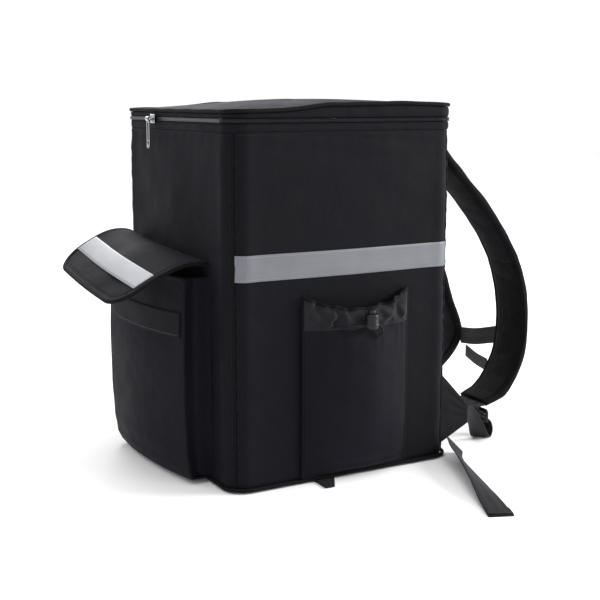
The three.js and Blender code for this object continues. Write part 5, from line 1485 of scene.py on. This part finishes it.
class BAG_OT_drawcords(bpy.types.Operator):
    """Makes the drawcord of each bottle pocket"""
    bl_idname = "bag.drawcords"
    bl_label = "Drawcords"

    def execute(self, context):
        path = cord_path()
        tube = swept_shell(path, Z_AXIS, round_section(CORD_RADIUS, 14))
        for side, sign in (("right", 1), ("left", -1)):
            shells = [tube] if sign > 0 else mirrored([tube])
            piece = make_piece(f"drawcord_{side}", shells, finish("cord"),
                               [f"pocket_drawcord_{side}"])
        return {"FINISHED"}


class BAG_OT_box(bpy.types.Operator):
    """Makes the padded box with its corner seams, stitches and base piping"""
    bl_idname = "bag.box"
    bl_label = "Box"

    def execute(self, context):
        box = make_piece("body_cloth", [box_cloth()], finish("shell cloth"), ["body_shell"])
        make_piece("corner_seams", box_seams(), finish("binding"))
        make_piece("body_stitches", box_stitches(), finish("black thread"))
        piping = ring_piping(0.8, lambda y: BASE_PIPING_HEIGHT + 0 * y)
        make_piece("base_piping_cord", [piping], finish("binding"), ["base_piping"])
        return {"FINISHED"}


class BAG_OT_lid(bpy.types.Operator):
    """Makes the lid: its padded top, border and piping"""
    bl_idname = "bag.lid"
    bl_label = "Lid"

    def execute(self, context):
        top = make_piece("lid_cushion", [lid_cushion()], finish("shell cloth"), ["lid_panel"])
        rim = HALF_WIDTH - LID_PIPING_INSET - PIPING_RADIUS

        def sewn(points):
            """Held near the lid's edge and on its underside."""
            x, y, z = points.T
            near_edge = np.maximum(np.abs(x) / rim, np.abs(y) / (rim - 5)) > 0.93
            return np.where(near_edge | (z < CHAIN_MIDDLE), 1.0, 0.0)

        inflate(top, 3.0, 0.0025, sewn)
        band = ring_band(LID_BAND_LOW, lambda y: lid_edge(y) - PIPING_RADIUS - 0.3,
                         -TAPE_INSET - 1, 2.0, 0.9, 0.35)
        make_piece("lid_border", [band], finish("shell cloth"), ["lid_band"])
        piping = ring_piping(-LID_PIPING_INSET, lid_edge)
        make_piece("lid_piping_cord", [piping], finish("binding"), ["lid_piping"])
        return {"FINISHED"}


class BAG_OT_zip(bpy.types.Operator):
    """Makes the zip: its tape, teeth, slider and pull"""
    bl_idname = "bag.zip"
    bl_label = "Zip"

    def execute(self, context):
        pitch = context.scene.bag_sizes.teeth_pitch / MM
        low, high = BODY_HEIGHT + 0.3, CHAIN_LOW - 0.3
        lower = ring_band(low, lambda y: high + 0 * y, -TAPE_INSET - 1, 2.0, 0.7, 0.3)
        make_piece("zip_lower_border", [lower], finish("shell cloth"), ["zip_tape"])
        tape = ring_band(CHAIN_LOW - 0.2, lambda y: CHAIN_LOW + CHAIN_HEIGHT + 0.2 + 0 * y, -2.4, 1.4, 0.0)
        make_piece("zip_woven_tape", [tape], finish("binding"))
        # Two copies of one plate: the side and back teeth painted darker as painted shade, the front teeth
        # painted lighter as a painted highlight.
        make_piece("zip_teeth", zip_teeth(pitch, False), finish("black nickel"), ["zip_chain"],
                   smooth=False, weld=False)
        make_piece("zip_teeth_front", zip_teeth(pitch, True), finish("dull nickel"),
                   smooth=False, weld=False)
        make_piece("slider_plate", slider_body(), finish("nickel"), ["zip_slider"])
        make_piece("slider_pull", slider_pull(), finish("nickel"), ["zip_pull"], "zip_pull")
        return {"FINISHED"}


class BAG_OT_front_pocket(bpy.types.Operator):
    """Makes the front pocket with its bellows sides, bound edges and facing"""
    bl_idname = "bag.front_pocket"
    bl_label = "Front Pocket"

    def execute(self, context):
        cloth = make_piece("pocket_cloth", [cloth_shell(pocket_panels(), 2.5)], finish("pocket cloth"),
                           ["front_pocket"])
        make_piece("pocket_binding", pocket_trim(), finish("binding"))
        make_piece("pocket_facing", [pocket_facing()], finish("facing"), ["pocket_closure_tape"])
        make_piece("pocket_lower_stitches", pocket_rows((0.08,)), finish("grey thread"))
        make_piece("pocket_upper_stitches", pocket_rows((0.2, 0.91)), finish("black thread"))
        return {"FINISHED"}


class BAG_OT_flap(bpy.types.Operator):
    """Makes the lifted flap with its binding, its reflective strip painted paler as a highlight, and stitches
    """
    bl_idname = "bag.flap"
    bl_label = "Flap"

    def execute(self, context):
        # The flap cloth is a darker copy of the oxford, painted shade for its upward face.
        panel = make_piece("flap_cloth", [flap_panel()], finish("flap cloth painted shaded"), ["front_flap"])
        make_piece("flap_edge_binding", [flap_binding()], finish("binding"), ["flap_binding"])
        make_piece("flap_reflective_strip_painted_lit", [flap_strip()], finish("reflective tape painted lit"), ["flap_reflector"])
        rows = flap_rows()
        make_piece("flap_stitches", rows[:1], finish("black thread"))
        make_piece("flap_strip_stitches", rows[1:], finish("pale thread"))
        return {"FINISHED"}


class BAG_OT_side_strips(bpy.types.Operator):
    """Makes the reflective strip on each side"""
    bl_idname = "bag.side_strips"
    bl_label = "Side Strips"

    def execute(self, context):
        for side, sign in (("right", 1), ("left", -1)):
            make_piece(f"silver_strip_{side}", [side_strip(sign)], finish("silver tape"),
                       [f"side_reflector_{side}"])
            make_piece(f"silver_strip_stitches_{side}", side_rows(sign), finish("pale thread"))
        return {"FINISHED"}


class BAG_OT_bottle_pockets(bpy.types.Operator):
    """Makes the gathered bottle pocket on each side"""
    bl_idname = "bag.bottle_pockets"
    bl_label = "Bottle Pockets"

    def execute(self, context):
        middle = bottle_cloth()
        for side, turned in SIDES:
            cloth = make_piece(f"bottle_pocket_cloth_{side}", turned([cloth_shell(middle, 1.8)]),
                               finish("pocket cloth"), [f"bottle_pocket_{side}"])
            # The gathered band takes the paler copy of the pocket cloth, a painted highlight on its wrinkles.
            make_piece(f"bottle_pocket_band_{side}", turned([bottle_mouth()]), finish("gathered cloth painted lit"))
            make_piece(f"bottle_pocket_hems_{side}", turned(bottle_trim()), finish("binding"))
            make_piece(f"bottle_pocket_stitches_{side}", turned(bottle_rows()), finish("black thread"))
        return {"FINISHED"}


class BAG_OT_cord_locks(bpy.types.Operator):
    """Makes the cord lock of each bottle pocket, with its button on its own body"""
    bl_idname = "bag.cord_locks"
    bl_label = "Cord Locks"

    def execute(self, context):
        centre = np.array([node_middle("cord_lock_body_right")[0], LOCK_Y, LOCK_LOW])
        for side, turned in SIDES:
            make_piece(f"lock_barrel_{side}", turned(lock_barrel(centre)), finish("acetal"),
                       [f"cord_lock_body_{side}"])
            name = f"cord_lock_button_{side}"
            make_piece(f"lock_button_{side}", turned([lock_button(centre)]), finish("acetal"),
                       [name], name)
        return {"FINISHED"}


class BAG_OT_shoulder_straps(bpy.types.Operator):
    """Makes the padded shoulder straps with their stitching"""
    bl_idname = "bag.shoulder_straps"
    bl_label = "Shoulder Straps"

    def execute(self, context):
        def sewn(points):
            """Held along both edges."""
            away = np.abs(np.abs(points[:, 0]) - STRAP_CENTRE)
            return np.where(away > STRAP_WIDTH * 0.38, 1.0, 0.0)

        for side, rows, sign in (("right", RIGHT_STRAP, 1), ("left", LEFT_STRAP, -1)):
            path = strap_path(rows, sign)
            coarse = even_path(path, np.linspace(0, 1, 150))
            pad = make_piece(f"padded_strap_{side}", [padded_strap(coarse)], finish("strap cloth"),
                             [f"shoulder_strap_{side}"])
            inflate(pad, 4.0, 0.0016, sewn)
            make_piece(f"strap_stitches_{side}", strap_rows(path), finish("black thread"))
        return {"FINISHED"}


class BAG_OT_webbing(bpy.types.Operator):
    """Makes the chest webbing, the folded tabs, the slack webbing, the loose ends and the ladder locks"""
    bl_idname = "bag.webbing"
    bl_label = "Webbing"

    def execute(self, context):
        (chest, chest_length), (end, end_length) = chest_webbing()
        piece = make_piece("chest_webbing", [chest], finish("webbing"), ["chest_strap"])
        piece = make_piece("chest_webbing_end", [end], finish("webbing"), ["chest_strap_tail"])
        slack, slack_length = slack_webbing()
        loose, loose_length = loose_webbing()
        for side, turned in SIDES:
            make_piece(f"pad_webbing_{side}", turned([pad_tab()]), finish("webbing"),
                       [f"pad_end_tab_{side}"])
            piece = make_piece(f"slack_webbing_{side}", turned([slack]), finish("webbing"),
                               [f"lower_webbing_{side}"])
            piece = make_piece(f"loose_webbing_{side}", turned(loose), finish("webbing"),
                               [f"tail_webbing_{side}"])
            make_piece(f"loose_stitches_{side}", turned(loose_rows()), finish("black thread"))
            make_piece(f"ladder_frame_{side}", turned(ladder_frame()), finish("acetal"),
                       [f"ladder_lock_{side}"])
        return {"FINISHED"}


class BAG_OT_wings(bpy.types.Operator):
    """Makes the cloth wings at the back seams and the tab under the right side"""
    bl_idname = "bag.wings"
    bl_label = "Wings and Tab"

    def execute(self, context):
        for side, turned in SIDES:
            wing = make_piece(f"wing_cloth_{side}", turned([wing_cloth()]), finish("strap cloth"),
                              [f"anchor_wing_{side}"])
            make_piece(f"wing_stitches_{side}", turned(wing_rows()), finish("black thread"))
        make_piece("tab_cloth", [tab_cloth()], finish("webbing"), ["base_tab"])
        return {"FINISHED"}


class BAG_PT_panel(bpy.types.Panel):
    """Lists the pieces of the backpack with their settings"""
    bl_idname = "BAG_PT_panel"
    bl_label = "Delivery Backpack"
    bl_space_type = "VIEW_3D"
    bl_region_type = "UI"
    bl_category = "Backpack"

    def draw(self, context):
        for settings in (context.scene.bag_sizes, context.scene.bag_colours):
            for name in settings.__annotations__:
                self.layout.prop(settings, name)
        for operator in OPERATORS:
            self.layout.operator(operator.bl_idname)


OPERATORS = (
    BAG_OT_stage, BAG_OT_drawcords, BAG_OT_box, BAG_OT_lid, BAG_OT_zip, BAG_OT_front_pocket,
    BAG_OT_flap, BAG_OT_side_strips, BAG_OT_bottle_pockets, BAG_OT_cord_locks, BAG_OT_shoulder_straps,
    BAG_OT_webbing, BAG_OT_wings,
)
CLASSES = (BagSizes, BagColours, *OPERATORS, BAG_PT_panel)


def register():
    """Registers the settings, operators and panel."""
    for item in CLASSES:
        bpy.utils.register_class(item)
    bpy.types.Scene.bag_sizes = bpy.props.PointerProperty(type=BagSizes)
    bpy.types.Scene.bag_colours = bpy.props.PointerProperty(type=BagColours)


def unregister():
    """Takes the settings, operators and panel away again."""
    del bpy.types.Scene.bag_sizes
    del bpy.types.Scene.bag_colours
    for item in reversed(CLASSES):
        bpy.utils.unregister_class(item)


def main():
    """Registers the add-on and makes every piece."""
    register()
    for operator in OPERATORS:
        getattr(bpy.ops.bag, operator.bl_idname.split(".")[1])()


if __name__ == "__main__":
    main()
